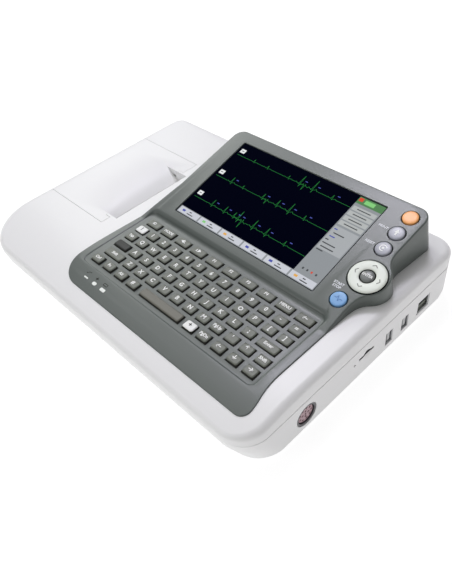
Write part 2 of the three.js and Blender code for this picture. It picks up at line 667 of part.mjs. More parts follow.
function buildPrinterDrive() {
  const { x, z } = idlerCentre;
  const spindle = rod('y', x, z, 1.5, 44, gears.to + 1, 14);
  place('idler_gear', gear(x, z, gears.idler, 0).add(spindle), paint.acetal());

  const motorShaft = rod('y', motor.x, motor.z, 1.5, motor.to + 0.5, gears.to, 14);
  place('motor_pinion', gear(motor.x, motor.z, gears.pinion, 0).add(motorShaft), paint.brass());
  place('stepper_motor', rod('y', motor.x, motor.z, motor.radius, motor.from, motor.to, 24), paint.steel());

  place('platen_gear', gear(roller.x, roller.z, gears.platen, roller.shaft + 0.05), paint.acetal());
  const shaft = rod('y', roller.x, roller.z, roller.shaft, notch.from - 2.6, gears.to + 1, 16);
  const sleeve = rod('y', roller.x, roller.z, roller.radius, roller.from, roller.to, 28);
  place('platen_roller', shaft.add(sleeve), paint.rubber());

  const head = join(
    box(roller.x + 5.8, roller.x + 8.6, -33.4, 45, 24.6, 34),
    box(roller.x + 8.5, roller.x + 14.5, -33.4, 45, 26, 32.5),
  );
  place('thermal_print_head', head, paint.steel());

  const coil = rod('y', roll.x, roll.z, roll.radius, roll.from, roll.to, 36);
  const core = rod('y', roll.x, roll.z, roll.core, roll.from - 1, roll.to + 1, 20);
  place('paper_roll', coil.subtract(core), plastic(0xf7f5ee, 0.8));
}

// ---------------------------------------------------------------- electronics and sockets

function buildBoards() {
  place('keypad_board', box(-50, 144.5, -84, -8, 39.4, 41), paint.board());
  place('main_board', box(-48, 142, -80, 58, 23, 24.6), paint.board());
  const [transformer, heatSink] = [box(-44, -8, 70, 104, 9.5, 30), box(4, 30, 72, 100, 9.5, 24)];
  const supply = join(box(-52, 38, 64, 114, 8, 9.6), transformer, heatSink);
  place('power_supply_board', supply, paint.board());
  const inputStage = join(box(100, 142, -84, -24, 8, 9.6), box(104, 138, -78, -40, 9.5, 17));
  place('ecg_input_board', inputStage, paint.board());
  const basket = [[0, 4.8], [14, 4.8], [speaker.radius, 7], [speaker.radius, 9], [10, 12], [10, 16], [0, 16]];
  place('speaker', turned(basket, speaker.x, speaker.y, 16), paint.black());
}

// A metal shell with a hollow mouth facing right and a contact tongue inside it.
function sideSocket({ y, z, width, height }, wall, tongue) {
  const [w, h] = [width / 2, height / 2];
  const back = body.right - ports.depth;
  const outer = box(back, body.right - 0.4, y - w, y + w, z - h, z + h);
  const [iw, ih] = [w - wall, h - wall];
  const mouth = box(back + 2, body.right + 1, y - iw, y + iw, z - ih, z + ih);
  return join(outer.subtract(mouth), tongue);
}

function buildSockets() {
  const right = body.right;
  const usbTongue = ({ y, z }) => box(right - ports.depth + 1, right - 3, y - 3.7, y - 2, z - 4.6, z + 4.6);
  place('usb_socket_front', sideSocket(ports.usbFront, 0.5, usbTongue(ports.usbFront)), paint.steel());
  place('usb_socket_rear', sideSocket(ports.usbRear, 0.5, usbTongue(ports.usbRear)), paint.steel());
  const { network, card, ecg } = ports;
  const [foot, top] = [network.z - 6, network.z - 4.4];
  const contacts = box(right - ports.depth + 1, right - 4, network.y - 5, network.y + 5, foot, top);
  place('network_socket', sideSocket(network, 1.1, contacts), paint.steel());
  const slot = box(right - 24, right - 0.5, card.y - 12, card.y + 12, card.z - 1.3, card.z + 1.3);
  const slit = box(right - 22, right + 1, card.y - 11, card.y + 11, card.z - 0.75, card.z + 0.75);
  place('memory_card_socket', slot.subtract(slit), paint.black());

  const shell = cut(
    rod('x', ecg.y, ecg.z, ecg.radius, right - 20, right - 0.3, 36),
    rod('x', ecg.y, ecg.z, ecg.radius - 1.6, right - 16, right + 1, 32),
  );
  place('ecg_socket_shell', shell, plastic(0x4b4a4d, 0.35));
  const pins = [[0, 0]];
  for (let i = 0; i < 6; i += 1) {
    const angle = (i * Math.PI) / 3;
    pins.push([4.4 * Math.cos(angle), 4.4 * Math.sin(angle)]);
  }
  const insert = cut(
    rod('x', ecg.y, ecg.z, ecg.radius - 2.4, right - 15.6, right - 4, 28),
    ...pins.map(([dy, dz]) => rod('x', ecg.y + dy, ecg.z + dz, 0.8, right - 9, right, 8)),
  );
  place('ecg_socket_insert', insert, plastic(0xa98f92, 0.45));
}

function buildRearPanel() {
  const rear = body.rear;
  const recess = (x, width, height, depth) => box(
    x - width / 2, x + width / 2, rear - depth, rear + 1, power.z - height / 2, power.z + height / 2,
  );
  const [inletX, rockerX] = [power.x + power.inlet, power.x + power.rocker];
  const module = recess(power.x, power.width, power.height, 20)
    .subtract(box(0, body.right, rear - 0.4, rear + 2, 0, body.seam));
  const blades = [[-7, 0], [0, 3.5], [7, 0]].map(([dx, dz]) => box(
    inletX + dx - 1, inletX + dx + 1, rear - 17, rear - 5, power.z + dz - 2, power.z + dz + 2,
  ));
  const housing = cut(module, recess(inletX, 24, 16.8, 16), recess(rockerX, 17.4, 11.6, 9.5));
  place('mains_inlet', join(housing, ...blades), paint.black());

  const pivot = new THREE.Vector2(rockerX, rear - 5);
  const corners = [[-7.6, 2.7], [-7.2, -1.8], [7.2, -1.8], [7.6, 2.7], [0, 1]].map(([dx, dy]) => (
    new THREE.Vector2(rockerX + dx, pivot.y + dy).rotateAround(pivot, rockerTilt)
  ));
  const paddle = prism(new THREE.Shape(corners), 'z', power.z - 5.3, power.z + 5.3);
  place('mains_switch_rocker', paddle, plastic(0x2b2d30, 0.35));

  const pin = rod('y', stud.x, stud.z, 3, rear - 12, rear - 0.6, 16);
  const nut = rod('y', stud.x, stud.z, 5, rear - 12, rear - 9, 6);
  place('equipotential_stud', join(pin, nut), paint.brass());
}

// ---------------------------------------------------------------- assembly

const shell = coverShell();
buildUpperCase(shell);
buildPrinterDoor(shell);
buildHingePin();
buildLowerCase();
buildFeetAndScrews();
buildBattery();
buildControlPanel();
buildKeyboardFrame();
buildKeys();
buildIndicatorLights();
buildDisplay();
buildButtons();
buildPrinterFrame();
buildPrinterDrive();
buildBoards();
buildSockets();
buildRearPanel();

export default machine;
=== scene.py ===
"""Looks of the desktop ECG machine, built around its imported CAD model.

Shapes are worked out in millimetres in the CAD frame and become metres as they turn into Blender meshes.
"""

import json
import math

import bmesh
import bpy
from mathutils import Matrix, Vector


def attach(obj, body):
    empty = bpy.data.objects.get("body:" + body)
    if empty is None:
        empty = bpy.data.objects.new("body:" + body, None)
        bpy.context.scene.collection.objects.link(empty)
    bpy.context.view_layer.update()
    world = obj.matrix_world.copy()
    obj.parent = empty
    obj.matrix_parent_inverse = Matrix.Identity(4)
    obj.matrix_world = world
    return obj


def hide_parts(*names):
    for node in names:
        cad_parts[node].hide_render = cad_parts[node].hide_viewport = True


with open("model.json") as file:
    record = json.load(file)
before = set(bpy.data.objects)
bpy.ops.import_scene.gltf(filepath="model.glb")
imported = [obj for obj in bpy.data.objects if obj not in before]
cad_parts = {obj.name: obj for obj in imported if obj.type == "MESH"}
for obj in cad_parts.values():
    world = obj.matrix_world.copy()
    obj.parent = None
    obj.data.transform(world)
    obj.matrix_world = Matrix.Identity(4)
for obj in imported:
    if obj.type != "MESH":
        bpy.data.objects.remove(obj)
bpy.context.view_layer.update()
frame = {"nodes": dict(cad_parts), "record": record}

MM = 0.001

# ---------------------------------------------------------------- driving dimensions, in millimetres

LEFT, RIGHT, FRONT, REAR = -169.0, 169.0, -121.0, 121.0
BASE, SEAM, TOP, WALL = 1.0, 32.0, 47.6, 2.4
CORNERS = (46.0, 22.0, 19.0, 16.0)
SHOULDERS = {"left": 13.2, "right": 5.3, "rear": 8.0, "front": 3.4}
SLOPE_START, SLOPE_END, SLOPE_DROP = -64.0, -118.0, 6.5

TILT = math.radians(14.7)
SCREEN = {"x": 43.45, "y": 45.25, "z": 65.72, "width": 153.4, "height": 91.6}
DISPLAY = Matrix.Translation((SCREEN["x"], SCREEN["y"], SCREEN["z"])) @ Matrix.Rotation(TILT, 4, "X")

PANEL_LEFT, PANEL_FRONT, PANEL_RIGHT, PANEL_REAR = -59.0, -106.4, 150.1, 105.5
PANEL_RISE, PANEL_DECK, PANEL_DRAFT, PANEL_DRAFT_X, PANEL_EDGE = 0.9, 48.5, 0.000625, 50.0, 1.3
TRAY = {"left": -51.5, "right": 142.5, "front": -86.0, "rear": -9.0}

KEY_PITCH, KEY_LINE, KEY_BACK, KEY_TOP = 14.42, 11.57, -19.7, 49.6
KEY_WIDTH, KEY_DEPTH = 12.6, 9.8

BUTTON_RADIUS = 6.3
NAV = {"u": 102.2, "v": -14.6, "outer": 14.1, "inner": 6.1, "enter": 5.2, "well": 15.6}
ROLLER = {"x": -92.5, "z": 33.0, "bore": 2.3}
HINGE = {"x": -162.5, "z": 40.0, "lug": 2.8, "bore": 1.5}
SCREWS = ((-132, -82), (157, -97), (160, 95), (-148, 96))
FEET = ((-112, -92), (134, -92), (150, 106), (-150, 106))
# The openings in the right wall: middle Y, middle Z, width and height.
PORTS = {
    "card": (3.2, 21.2, 17, 1.6),
    "usb_front": (31.3, 14.5, 8.2, 12.6),
    "usb_rear": (51.6, 13.9, 8.2, 12.6),
    "network": (76, 14.9, 15.8, 13),
}
ECG = {"y": -62.3, "z": 16.4, "radius": 9.8, "insert": 7.6, "pin": 0.95}
MICROPHONE = {"y": -10.5, "z": 19.8, "radius": 1.1}
INLET = {"x": 84, "z": 16.5, "width": 54.6, "height": 21.6}
STUD = {"x": 122, "z": 14, "radius": 3.4}
BATTERY_BAY = {"left": 8, "right": 96, "front": -56, "rear": 10}
SPEAKER = {"x": -92, "y": -76, "half_slot": 11, "slot_pitch": 5}
NOTCH = {"left": -100.2, "bottom": -84.7, "right": -72.0, "depth": 37.4, "from": -35.4, "to": 46.9}
DOOR = {"right": -79.0, "front": -46.8, "rear": 66.1, "left_edge": 37.5, "slit": 0.35}
LAMPS = (-31.1, -19.8, -8.7)
LAMP_Y = -96.5
# The round bulge of the panel that carries the navigation ring, and the angles where its arc starts and ends.
BULGE = {"x": 145.2, "y": 34.0, "radius": 17.8, "from": -0.83, "to": 0.86}
TOE = {"x": 146.9, "radius": 7.4}
PANEL_CORNER = {"rear": 10, "front_left": 24}


# ---------------------------------------------------------------- meshes

def link(obj):
    bpy.context.collection.objects.link(obj)
    return obj


def build(name, points, faces, material=None, angle=35.0):
    """A mesh object from points in millimetres, smooth except at edges sharper than the angle."""
    mesh = bpy.data.meshes.new(name)
    mesh.from_pydata([Vector(p) * MM for p in points], [], faces)
    mesh.update()
    obj = link(bpy.data.objects.new(name, mesh))
    if material:
        mesh.materials.append(material)
    shade(obj, angle)
    return obj


def shade(obj, angle=35.0):
    for polygon in obj.data.polygons:
        polygon.use_smooth = True
    obj.data.set_sharp_from_angle(angle=math.radians(angle))


class Shell:
    """Rings of points joined into one skin."""

    def __init__(self):
        self.points = []
        self.faces = []

    def ring(self, points):
        start = len(self.points)
        self.points.extend(points)
        return list(range(start, len(self.points)))

    def bridge(self, below, above):
        count = len(below)
        for i in range(count):
            j = (i + 1) % count
            self.faces.append((below[i], below[j], above[j], above[i]))

    def loft(self, rings, bottom=True, top=True):
        placed = [self.ring(points) for points in rings]
        for below, above in zip(placed, placed[1:]):
            self.bridge(below, above)
        if bottom:
            self.faces.append(tuple(reversed(placed[0])))
        if top:
            self.faces.append(tuple(placed[-1]))
        return placed


def loft(name, rings, material=None, angle=35.0):
    shell = Shell()
    shell.loft(rings)
    return build(name, shell.points, shell.faces, material, angle)


def block(x0, x1, y0, y1, z0, z1):
    low = [(x0, y0, z0), (x1, y0, z0), (x1, y1, z0), (x0, y1, z0)]
    return loft("cutter", [low, [(x, y, z1) for x, y, _ in low]])


def prism_y(profile, y0, y1):
    """A solid between two Y planes from an X, Z profile."""
    return loft("cutter", [[(x, y1, z) for x, z in profile], [(x, y0, z) for x, z in profile]])


def rod_x(y, z, radius, x0, x1, sides=48):
    ring = [(y + radius * math.cos(a), z + radius * math.sin(a)) for a in turns(sides)]
    return loft("cutter", [[(x0, b, c) for b, c in ring], [(x1, b, c) for b, c in ring]])


def rod_z(x, y, radius, z0, z1, sides=32):
    ring = [(x + radius * math.cos(a), y + radius * math.sin(a)) for a in turns(sides)]
    return loft("cutter", [[(px, py, z) for px, py in ring] for z in (z0, z1)])


def rod_y(x, z, radius, y0, y1, sides=32):
    ring = [(x + radius * math.cos(a), z - radius * math.sin(a)) for a in turns(sides)]
    return loft("cutter", [[(px, y, pz) for px, pz in ring] for y in (y0, y1)])


def turns(sides):
    return [2 * math.pi * i / sides for i in range(sides)]


def fix_normals(obj):
    bm = bmesh.new()
    bm.from_mesh(obj.data)
    bmesh.ops.recalc_face_normals(bm, faces=bm.faces)
    bm.to_mesh(obj.data)
    bm.free()


def cut(obj, cutters, operation="DIFFERENCE", angle=35.0):
    """Cuts or keeps with each cutter in turn, and removes the cutters."""
    for cutter in cutters:
        fix_normals(cutter)
        modifier = obj.modifiers.new("cut", "BOOLEAN")
        modifier.operation = operation
        modifier.solver = "EXACT"
        modifier.object = cutter
    depsgraph = bpy.context.evaluated_depsgraph_get()
    mesh = bpy.data.meshes.new_from_object(obj.evaluated_get(depsgraph))
    obj.modifiers.clear()
    obj.data = mesh
    for cutter in cutters:
        bpy.data.objects.remove(cutter)
    shade(obj, angle)
    return obj


def repaint(obj, material):
    """Gives a mesh one material and renews its shading."""
    obj.data.materials.clear()
    obj.data.materials.append(material)
    for polygon in obj.data.polygons:
        polygon.material_index = 0
    shade(obj)


def joined(objects):
    """Several separate solids as one object."""
    bm = bmesh.new()
    for obj in objects:
        bm.from_mesh(obj.data)
    first, *others = objects
    bm.to_mesh(first.data)
    bm.free()
    for other in others:
        bpy.data.objects.remove(other)
    return first


def copy_of(obj):
    twin = obj.copy()
    twin.data = obj.data.copy()
    return link(twin)


def to_display(points):
    return [DISPLAY @ Vector(p) for p in points]


def turned(name, profile, material, frame_matrix=None, sides=48, angle=35.0, closed=False):
    """A profile of (radius, height) turned about the local Z axis. closed joins its end to its start."""
    rings = [[(r * math.cos(a), r * math.sin(a), h) for a in turns(sides)] for r, h in profile]
    if frame_matrix:
        rings = [[frame_matrix @ Vector(p) for p in ring] for ring in rings]
    shell = Shell()
    placed = shell.loft(rings, bottom=not closed, top=not closed)
    if closed:
        shell.bridge(placed[-1], placed[0])
    return build(name, shell.points, shell.faces, material, angle)


def finish_piece(obj, body, slot, *replaced):
    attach(obj, body)
    if replaced:
        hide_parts(*replaced)
    return obj


# ---------------------------------------------------------------- materials

def plastic(name, colour, roughness=0.4, grain=0.02, grain_scale=900.0, mottle=0.04, coat=0.0, specular=0.5):
    """Moulded plastic: a fine spark-eroded grain, slightly uneven gloss and a little colour drift."""
    material = bpy.data.materials.new(name)
    material.use_nodes = True
    nodes, links = material.node_tree.nodes, material.node_tree.links
    shader = nodes["Principled BSDF"]
    shader.inputs["Specular IOR Level"].default_value = specular
    shader.inputs["Coat Weight"].default_value = coat
    shader.inputs["Coat Roughness"].default_value = 0.12
    where = nodes.new("ShaderNodeTexCoord")

    drift = nodes.new("ShaderNodeTexNoise")
    drift.inputs["Scale"].default_value = 22.0
    drift.inputs["Detail"].default_value = 3.0
    links.new(where.outputs["Object"], drift.inputs["Vector"])
    tint = nodes.new("ShaderNodeMix")
    tint.data_type = "RGBA"
    tint.inputs["A"].default_value = (*[c * (1 - mottle) for c in colour], 1)
    tint.inputs["B"].default_value = (*[min(1, c * (1 + mottle)) for c in colour], 1)
    links.new(drift.outputs["Fac"], tint.inputs["Factor"])
    links.new(tint.outputs["Result"], shader.inputs["Base Color"])

    fine = nodes.new("ShaderNodeTexNoise")
    fine.inputs["Scale"].default_value = grain_scale
    fine.inputs["Detail"].default_value = 2.0
    links.new(where.outputs["Object"], fine.inputs["Vector"])
    spread = nodes.new("ShaderNodeMapRange")
    spread.inputs["To Min"].default_value = roughness * 0.88
    spread.inputs["To Max"].default_value = min(1.0, roughness * 1.12)
    links.new(fine.outputs["Fac"], spread.inputs["Value"])
    links.new(spread.outputs["Result"], shader.inputs["Roughness"])
    bump = nodes.new("ShaderNodeBump")
    bump.inputs["Strength"].default_value = grain
    bump.inputs["Distance"].default_value = 0.0004
    links.new(fine.outputs["Fac"], bump.inputs["Height"])
    links.new(bump.outputs["Normal"], shader.inputs["Normal"])
    return material


def metal(name, colour, roughness=0.3):
    material = plastic(name, colour, roughness, grain=0.03, grain_scale=1400.0, mottle=0.06)
    material.node_tree.nodes["Principled BSDF"].inputs["Metallic"].default_value = 1.0
    return material


def glow(name, colour, strength=1.0):
    """A lit part of the screen picture: light from below the glass, with a faint pixel raster."""
    material = bpy.data.materials.new(name)
    material.use_nodes = True
    nodes, links = material.node_tree.nodes, material.node_tree.links
    shader = nodes["Principled BSDF"]
    shader.inputs["Base Color"].default_value = (0.001, 0.001, 0.001, 1)
    shader.inputs["Roughness"].default_value = 0.5
    shader.inputs["IOR"].default_value = 1.05
    where = nodes.new("ShaderNodeTexCoord")
    raster = nodes.new("ShaderNodeTexWave")
    raster.inputs["Scale"].default_value = 800.0
    links.new(where.outputs["Object"], raster.inputs["Vector"])
    tint = nodes.new("ShaderNodeMix")
    tint.data_type = "RGBA"
    tint.inputs["A"].default_value = (*[c * 0.9 for c in colour], 1)
    tint.inputs["B"].default_value = (*colour, 1)
    links.new(raster.outputs["Fac"], tint.inputs["Factor"])
    links.new(tint.outputs["Result"], shader.inputs["Emission Color"])
    shader.inputs["Emission Strength"].default_value = strength
    return material


WHITE = plastic("white_shell", (0.80, 0.80, 0.80), 0.4, grain=0.03, mottle=0.01)
GREY = plastic("grey_panel", (0.10, 0.116, 0.107), 0.34, grain=0.05, mottle=0.05, specular=0.5)
KEY_GREY = plastic("grey_key", (0.145, 0.156, 0.13), 0.42, grain=0.05, specular=0.4)
# Near-black used two ways: painted shade on the key skirts for the shadowed gaps between keys, and print ink
# for the lamp signs.
SKIRT_SHADE_AND_SIGN_INK = plastic("key_skirt_shade_and_sign_ink", (0.03, 0.03, 0.026), 0.6, grain=0.05, specular=0.2)
KEY_DARK = plastic("dark_key", (0.034, 0.036, 0.033), 0.5, grain=0.05, specular=0.25)
KEY_WHITE = plastic("white_key", (0.80, 0.81, 0.79), 0.4, grain=0.03)
KEY_SPACE = plastic("space_key", (0.14, 0.137, 0.11), 0.5, grain=0.05)
LEGEND = plastic("legend_ink", (0.86, 0.87, 0.85), 0.6, grain=0.0)
LABEL_INK = plastic("label_ink", (0.74, 0.76, 0.80), 0.6, grain=0.0)
BLUE_INK = plastic("blue_ink", (0.07, 0.20, 0.50), 0.6, grain=0.0)
ORANGE = plastic("orange_button", (1.0, 0.44, 0.15), 0.42, coat=0.1)
BLUE = plastic("blue_button", (0.19, 0.40, 0.72), 0.4, coat=0.1)
SILVER = plastic("metal_button", (0.34, 0.35, 0.40), 0.3, grain=0.02, mottle=0.1)
ENTER_GREY = plastic("enter_plastic", (0.17, 0.18, 0.175), 0.3, grain=0.02)
CONTACT = plastic("contact_carrier", (0.55, 0.56, 0.56), 0.5)
RING = plastic("ring_plastic", (0.76, 0.80, 0.73), 0.4, grain=0.02)
BLACK = plastic("black_plastic", (0.02, 0.02, 0.022), 0.4)
# Near-black: painted shade for the bottoms of the button wells.
GAP_SHADE = plastic("painted_gap_shade", (0.012, 0.013, 0.014), 0.6)
SOCKET_RING = plastic("socket_ring", (0.07, 0.068, 0.075), 0.35)
SOCKET_INSERT = plastic("socket_insert", (0.46, 0.31, 0.34), 0.5)
BOARD = plastic("circuit_board", (0.02, 0.10, 0.04), 0.35, grain=0.08, mottle=0.2)
STEEL = metal("steel", (0.60, 0.61, 0.62), 0.32)
BRASS = metal("brass", (0.72, 0.53, 0.24), 0.3)
RUBBER = plastic("rubber", (0.02, 0.02, 0.02), 0.8, grain=0.15)
ACETAL = plastic("gear_plastic", (0.74, 0.71, 0.62), 0.5)
WRAP = plastic("battery_wrap", (0.03, 0.09, 0.26), 0.3)
PAPER = plastic("paper", (0.86, 0.85, 0.80), 0.8, grain=0.05)
LAMP = plastic("lamp_plastic", (0.85, 0.88, 0.84), 0.25)


# ---------------------------------------------------------------- outlines

def arc_points(cx, cy, radius, start, end, steps):
    angles = [start + (end - start) * i / steps for i in range(steps + 1)]
    return [(cx + radius * math.cos(a), cy + radius * math.sin(a)) for a in angles]


def bezier_points(p0, p1, p2, p3, steps):
    curve = []
    for i in range(1, steps):
        t = i / steps
        weights = ((1 - t) ** 3, 3 * t * (1 - t) ** 2, 3 * t * t * (1 - t), t ** 3)
        curve.append(tuple(sum(w * p[k] for w, p in zip(weights, (p0, p1, p2, p3))) for k in (0, 1)))
    return curve


def evened(points, step, stations=()):
    """Splits the long sides of a closed outline, and adds a point wherever a side crosses a station in Y."""
    even = []
    for a, b in zip(points, points[1:] + points[:1]):
        length = math.dist(a, b)
        if length < 0.05:
            continue
        count = max(1, round(length / step))
        cuts = {i / count for i in range(count)}
        cuts |= {(y - a[1]) / (b[1] - a[1]) for y in stations if (a[1] - y) * (b[1] - y) < 0}
        kept = []
        for t in sorted(cuts):
            if not kept or (t - kept[-1]) * length > 0.3:
                kept.append(t)
        even.extend((a[0] + (b[0] - a[0]) * t, a[1] + (b[1] - a[1]) * t) for t in kept)
    return even


def outward_normals(points):
    normals = []
    for before, after in zip(points[-1:] + points[:-1], points[1:] + points[:1]):
        along = Vector((after[0] - before[0], after[1] - before[1])).normalized()
        normals.append(Vector((along.y, -along.x)))
    return normals


def case_outline(inset=0.0, step=6.0):
    x0, x1, y0, y1 = LEFT + inset, RIGHT - inset, FRONT + inset, REAR - inset
    fl, fr, rr, rl = (radius - inset for radius in CORNERS)
    quarter = math.pi / 2
    points = arc_points(x1 - fr, y0 + fr, fr, -quarter, 0, 12)
    points += arc_points(x1 - rr, y1 - rr, rr, 0, quarter, 12)
    points += arc_points(x0 + rl, y1 - rl, rl, quarter, 2 * quarter, 12)
    points += arc_points(x0 + fl, y0 + fl, fl, 2 * quarter, 3 * quarter, 18)
    return evened(points, step)


def side_weights(normal):
    return {"right": max(0, normal.x) ** 2, "left": max(0, -normal.x) ** 2,
            "rear": max(0, normal.y) ** 2, "front": max(0, -normal.y) ** 2}


def cover_height(y):
    t = max(0.0, (SLOPE_START - y) / (SLOPE_START - SLOPE_END))
    return TOP - SLOPE_DROP * t * t


SLOPE_STATIONS = [SLOPE_START - 4.5 * i for i in range(13)]


def striped_top(obj, stations):
    """Divides the flat top face along Y, so that it can follow the curve of its own rim."""
    bm = bmesh.new()
    bm.from_mesh(obj.data)
    top = max(bm.faces, key=lambda face: len(face.verts) * (face.normal.z > 0))
    faces = {top}
    for y in stations:
        edges = {edge for face in faces for edge in face.edges}
        corners = {corner for face in faces for corner in face.verts}
        result = bmesh.ops.bisect_plane(
            bm, geom=[*faces, *edges, *corners], dist=1e-7, plane_co=(0, y * MM, 0), plane_no=(0, 1, 0))
        faces = {g for g in result["geom"] if isinstance(g, bmesh.types.BMFace)}
    bm.to_mesh(obj.data)
    bm.free()
    shade(obj)
    return obj


# ---------------------------------------------------------------- white case

def upper_solid(name, inset, bottom):
    outline = case_outline(inset)
    normals = outward_normals(outline)
    weights = [side_weights(n) for n in normals]
    radii = [sum(w[side] * (SHOULDERS[side] - inset) for side in w) for w in weights]

    def ring(angle):
        points = []
        for (x, y), normal, radius in zip(outline, normals, radii):
            inward = radius * (1 - math.cos(angle))
            px, py = x - normal.x * inward, y - normal.y * inward
            points.append((px, py, cover_height(py) - inset - radius * (1 - math.sin(angle))))
        return points

    def wall(z, inward):
        return [(x - n.x * inward, y - n.y * inward, z) for (x, y), n in zip(outline, normals)]

    chamfer = 0.5 if inset == 0 else 0.0
    rings = [wall(bottom, chamfer), wall(bottom + 0.5, 0.0)]
    rings += [ring(math.radians(a)) for a in (0, 12, 24, 36, 48, 60, 72, 82, 90)]
    return striped_top(loft(name, rings, WHITE), SLOPE_STATIONS)


def notch_profile(grow):
    high = TOP + 20
    return [(NOTCH["left"] - 1.5 * grow, high), (NOTCH["left"] - 1.5 * grow, TOP),
            (NOTCH["bottom"], NOTCH["depth"] - 1.2 * grow),
            (NOTCH["right"] + 1.5 * grow, TOP), (NOTCH["right"] + 1.5 * grow, high)]


def door_region(grow):
    """The part of the cover that lifts with the printer door, as cutters to add and one to take away."""
    y0, y1 = DOOR["front"] - grow, DOOR["rear"] + grow
    lid = block(-160, DOOR["right"] + grow, y0, y1, 28, 70)
    side = block(LEFT - 5, -160, y0, y1, DOOR["left_edge"] - (3.6 if grow else 0), 70)
    cut(lid, [side], "UNION")
    ramp = block(NOTCH["bottom"] - 0.3 + grow, 0, NOTCH["from"] - 2.5 + grow, NOTCH["to"] + 2.5 - grow, 0, 80)
    return cut(lid, [ramp])


def hinge_ear(y0, y1):
    """A lug round the hinge pin on a web to the case wall."""
    ear = rod_y(HINGE["x"], HINGE["z"], HINGE["lug"], y0, y1)
    web = block(LEFT - 1, HINGE["x"], y0, y1, HINGE["z"] - 2, HINGE["z"] + 2)
    cut(ear, [web], "UNION")
    cut(ear, [upper_solid("inside", 0.4, SEAM)], "INTERSECT")
    return cut(ear, [rod_y(HINGE["x"], HINGE["z"], HINGE["bore"], y0 - 1, y1 + 1)])


def platen_arm(y0, y1):
    """The side of the paper exit reaches down under the lid and holds one end of the platen."""
    arm = block(ROLLER["x"] - 5, ROLLER["x"] + 4, y0, y1, 26, NOTCH["depth"] + 5)
    cut(arm, [rod_y(ROLLER["x"], ROLLER["z"], ROLLER["bore"], y0 - 1, y1 + 1)])
    return cut(arm, [prism_y(notch_profile(0), NOTCH["from"], NOTCH["to"])])


def screw_post(x, y):
    post = rod_z(x, y, 4, SEAM + 1, cover_height(y) - 1)
    return cut(post, [rod_z(x, y, 1.8, SEAM, 41.4)])


def make_covers():
    y0, y1 = NOTCH["from"], NOTCH["to"]
    exit_walls = prism_y(notch_profile(WALL), y0 - 2.2, y1 + 2.2)
    hollow = cut(upper_solid("hollow", WALL, SEAM - 1), [exit_walls])
    shell = cut(upper_solid("upper_cover", 0, SEAM + 0.35), [hollow, prism_y(notch_profile(0), y0, y1)])
    door = copy_of(shell)
    door.name = "printer_door_lid"
    cut(door, [door_region(0)], "INTERSECT")
    bay = loft("bay", [[(x, y, z) for x, y in inset_outline(panel_outline(), 4.6)] for z in (SEAM - 2, 60)])
    cut(shell, [door_region(DOOR["slit"]), bay])
    joined([shell, hinge_ear(-53, -48), hinge_ear(67.5, 72.5), *[screw_post(x, y) for x, y in SCREWS]])
    joined([door, platen_arm(y0 - 2.2, y0), platen_arm(y1, y1 + 2.2), hinge_ear(-40, -34), hinge_ear(52, 58)])
    for obj in (shell, door):
        repaint(obj, WHITE)
    finish_piece(shell, "case", "white_shell", "upper_case")
    finish_piece(door, "printer_door", "white_shell", "printer_door")


# Height, then how far the wall stands in from the plan outline at the front, sides and rear.
LOWER_LEVELS = (
    (BASE, 15, 1.5, 5),
    (2.5, 13.3, 0, 3.5),
    (4, 11.5, 0, 2),
    (6, 10.5, 0, 0),
    (24, 2, 0, 0),
    (SEAM, 0.4, 0, 0),
)
LOWER_RINGS = (1.0, 1.3, 1.8, 2.5, 3.2, 4.0, 6.0, 12.0, 18.0, 24.0, 28.0)


def share(value, none, full):
    return min(1.0, max(0.0, (value - none) / (full - none)))


def lower_setback(z):
    for (z0, *low), (z1, *high) in zip(LOWER_LEVELS, LOWER_LEVELS[1:]):
        if z <= z1:
            t = share(z, z0, z1)
            return [a + (b - a) * t for a, b in zip(low, high)]
    return LOWER_LEVELS[-1][1:]


def lower_solid(name, inset, top):
    """The lower shell. Towards the base its walls move in, and its corners keep their radius."""
    outline = case_outline(inset)
    normals = outward_normals(outline)
    levels = [z for z in LOWER_RINGS if z >= BASE + inset - 0.3]
    levels[0] = BASE + inset
    rings = []
    for z, lip in [*((level, 0.0) for level in levels), (top - 0.5, 0.0), (top, 0.0 if inset else 0.5)]:
        front, sides, rear = lower_setback(z)
        ring = []
        for (x, y), n in zip(outline, normals):
            forward = share(y, REAR - 20, FRONT + 46)
            back = share(y, REAR - 60, REAR - 19)
            px = x * (1 - sides / RIGHT) - n.x * lip
            ring.append((px, y + front * forward - rear * back - n.y * lip, z))
        rings.append(ring)
    return loft(name, rings, WHITE)


def port_block(y, z, width, height, grow=0.3):
    w, h = width / 2 + grow, height / 2 + grow
    return block(RIGHT - 8, RIGHT + 5, y - w, y + w, z - h, z + h)


def inlet_opening():
    w, h = INLET["width"] / 2, INLET["height"] / 2
    x, z = INLET["x"], INLET["z"]
    return block(x - w, x + w, REAR - 8, REAR + 5, z - h, z + h)


def speaker_slot(y):
    x, half = SPEAKER["x"], SPEAKER["half_slot"]
    return block(x - half, x + half, y - 1, y + 1, -1, 8)


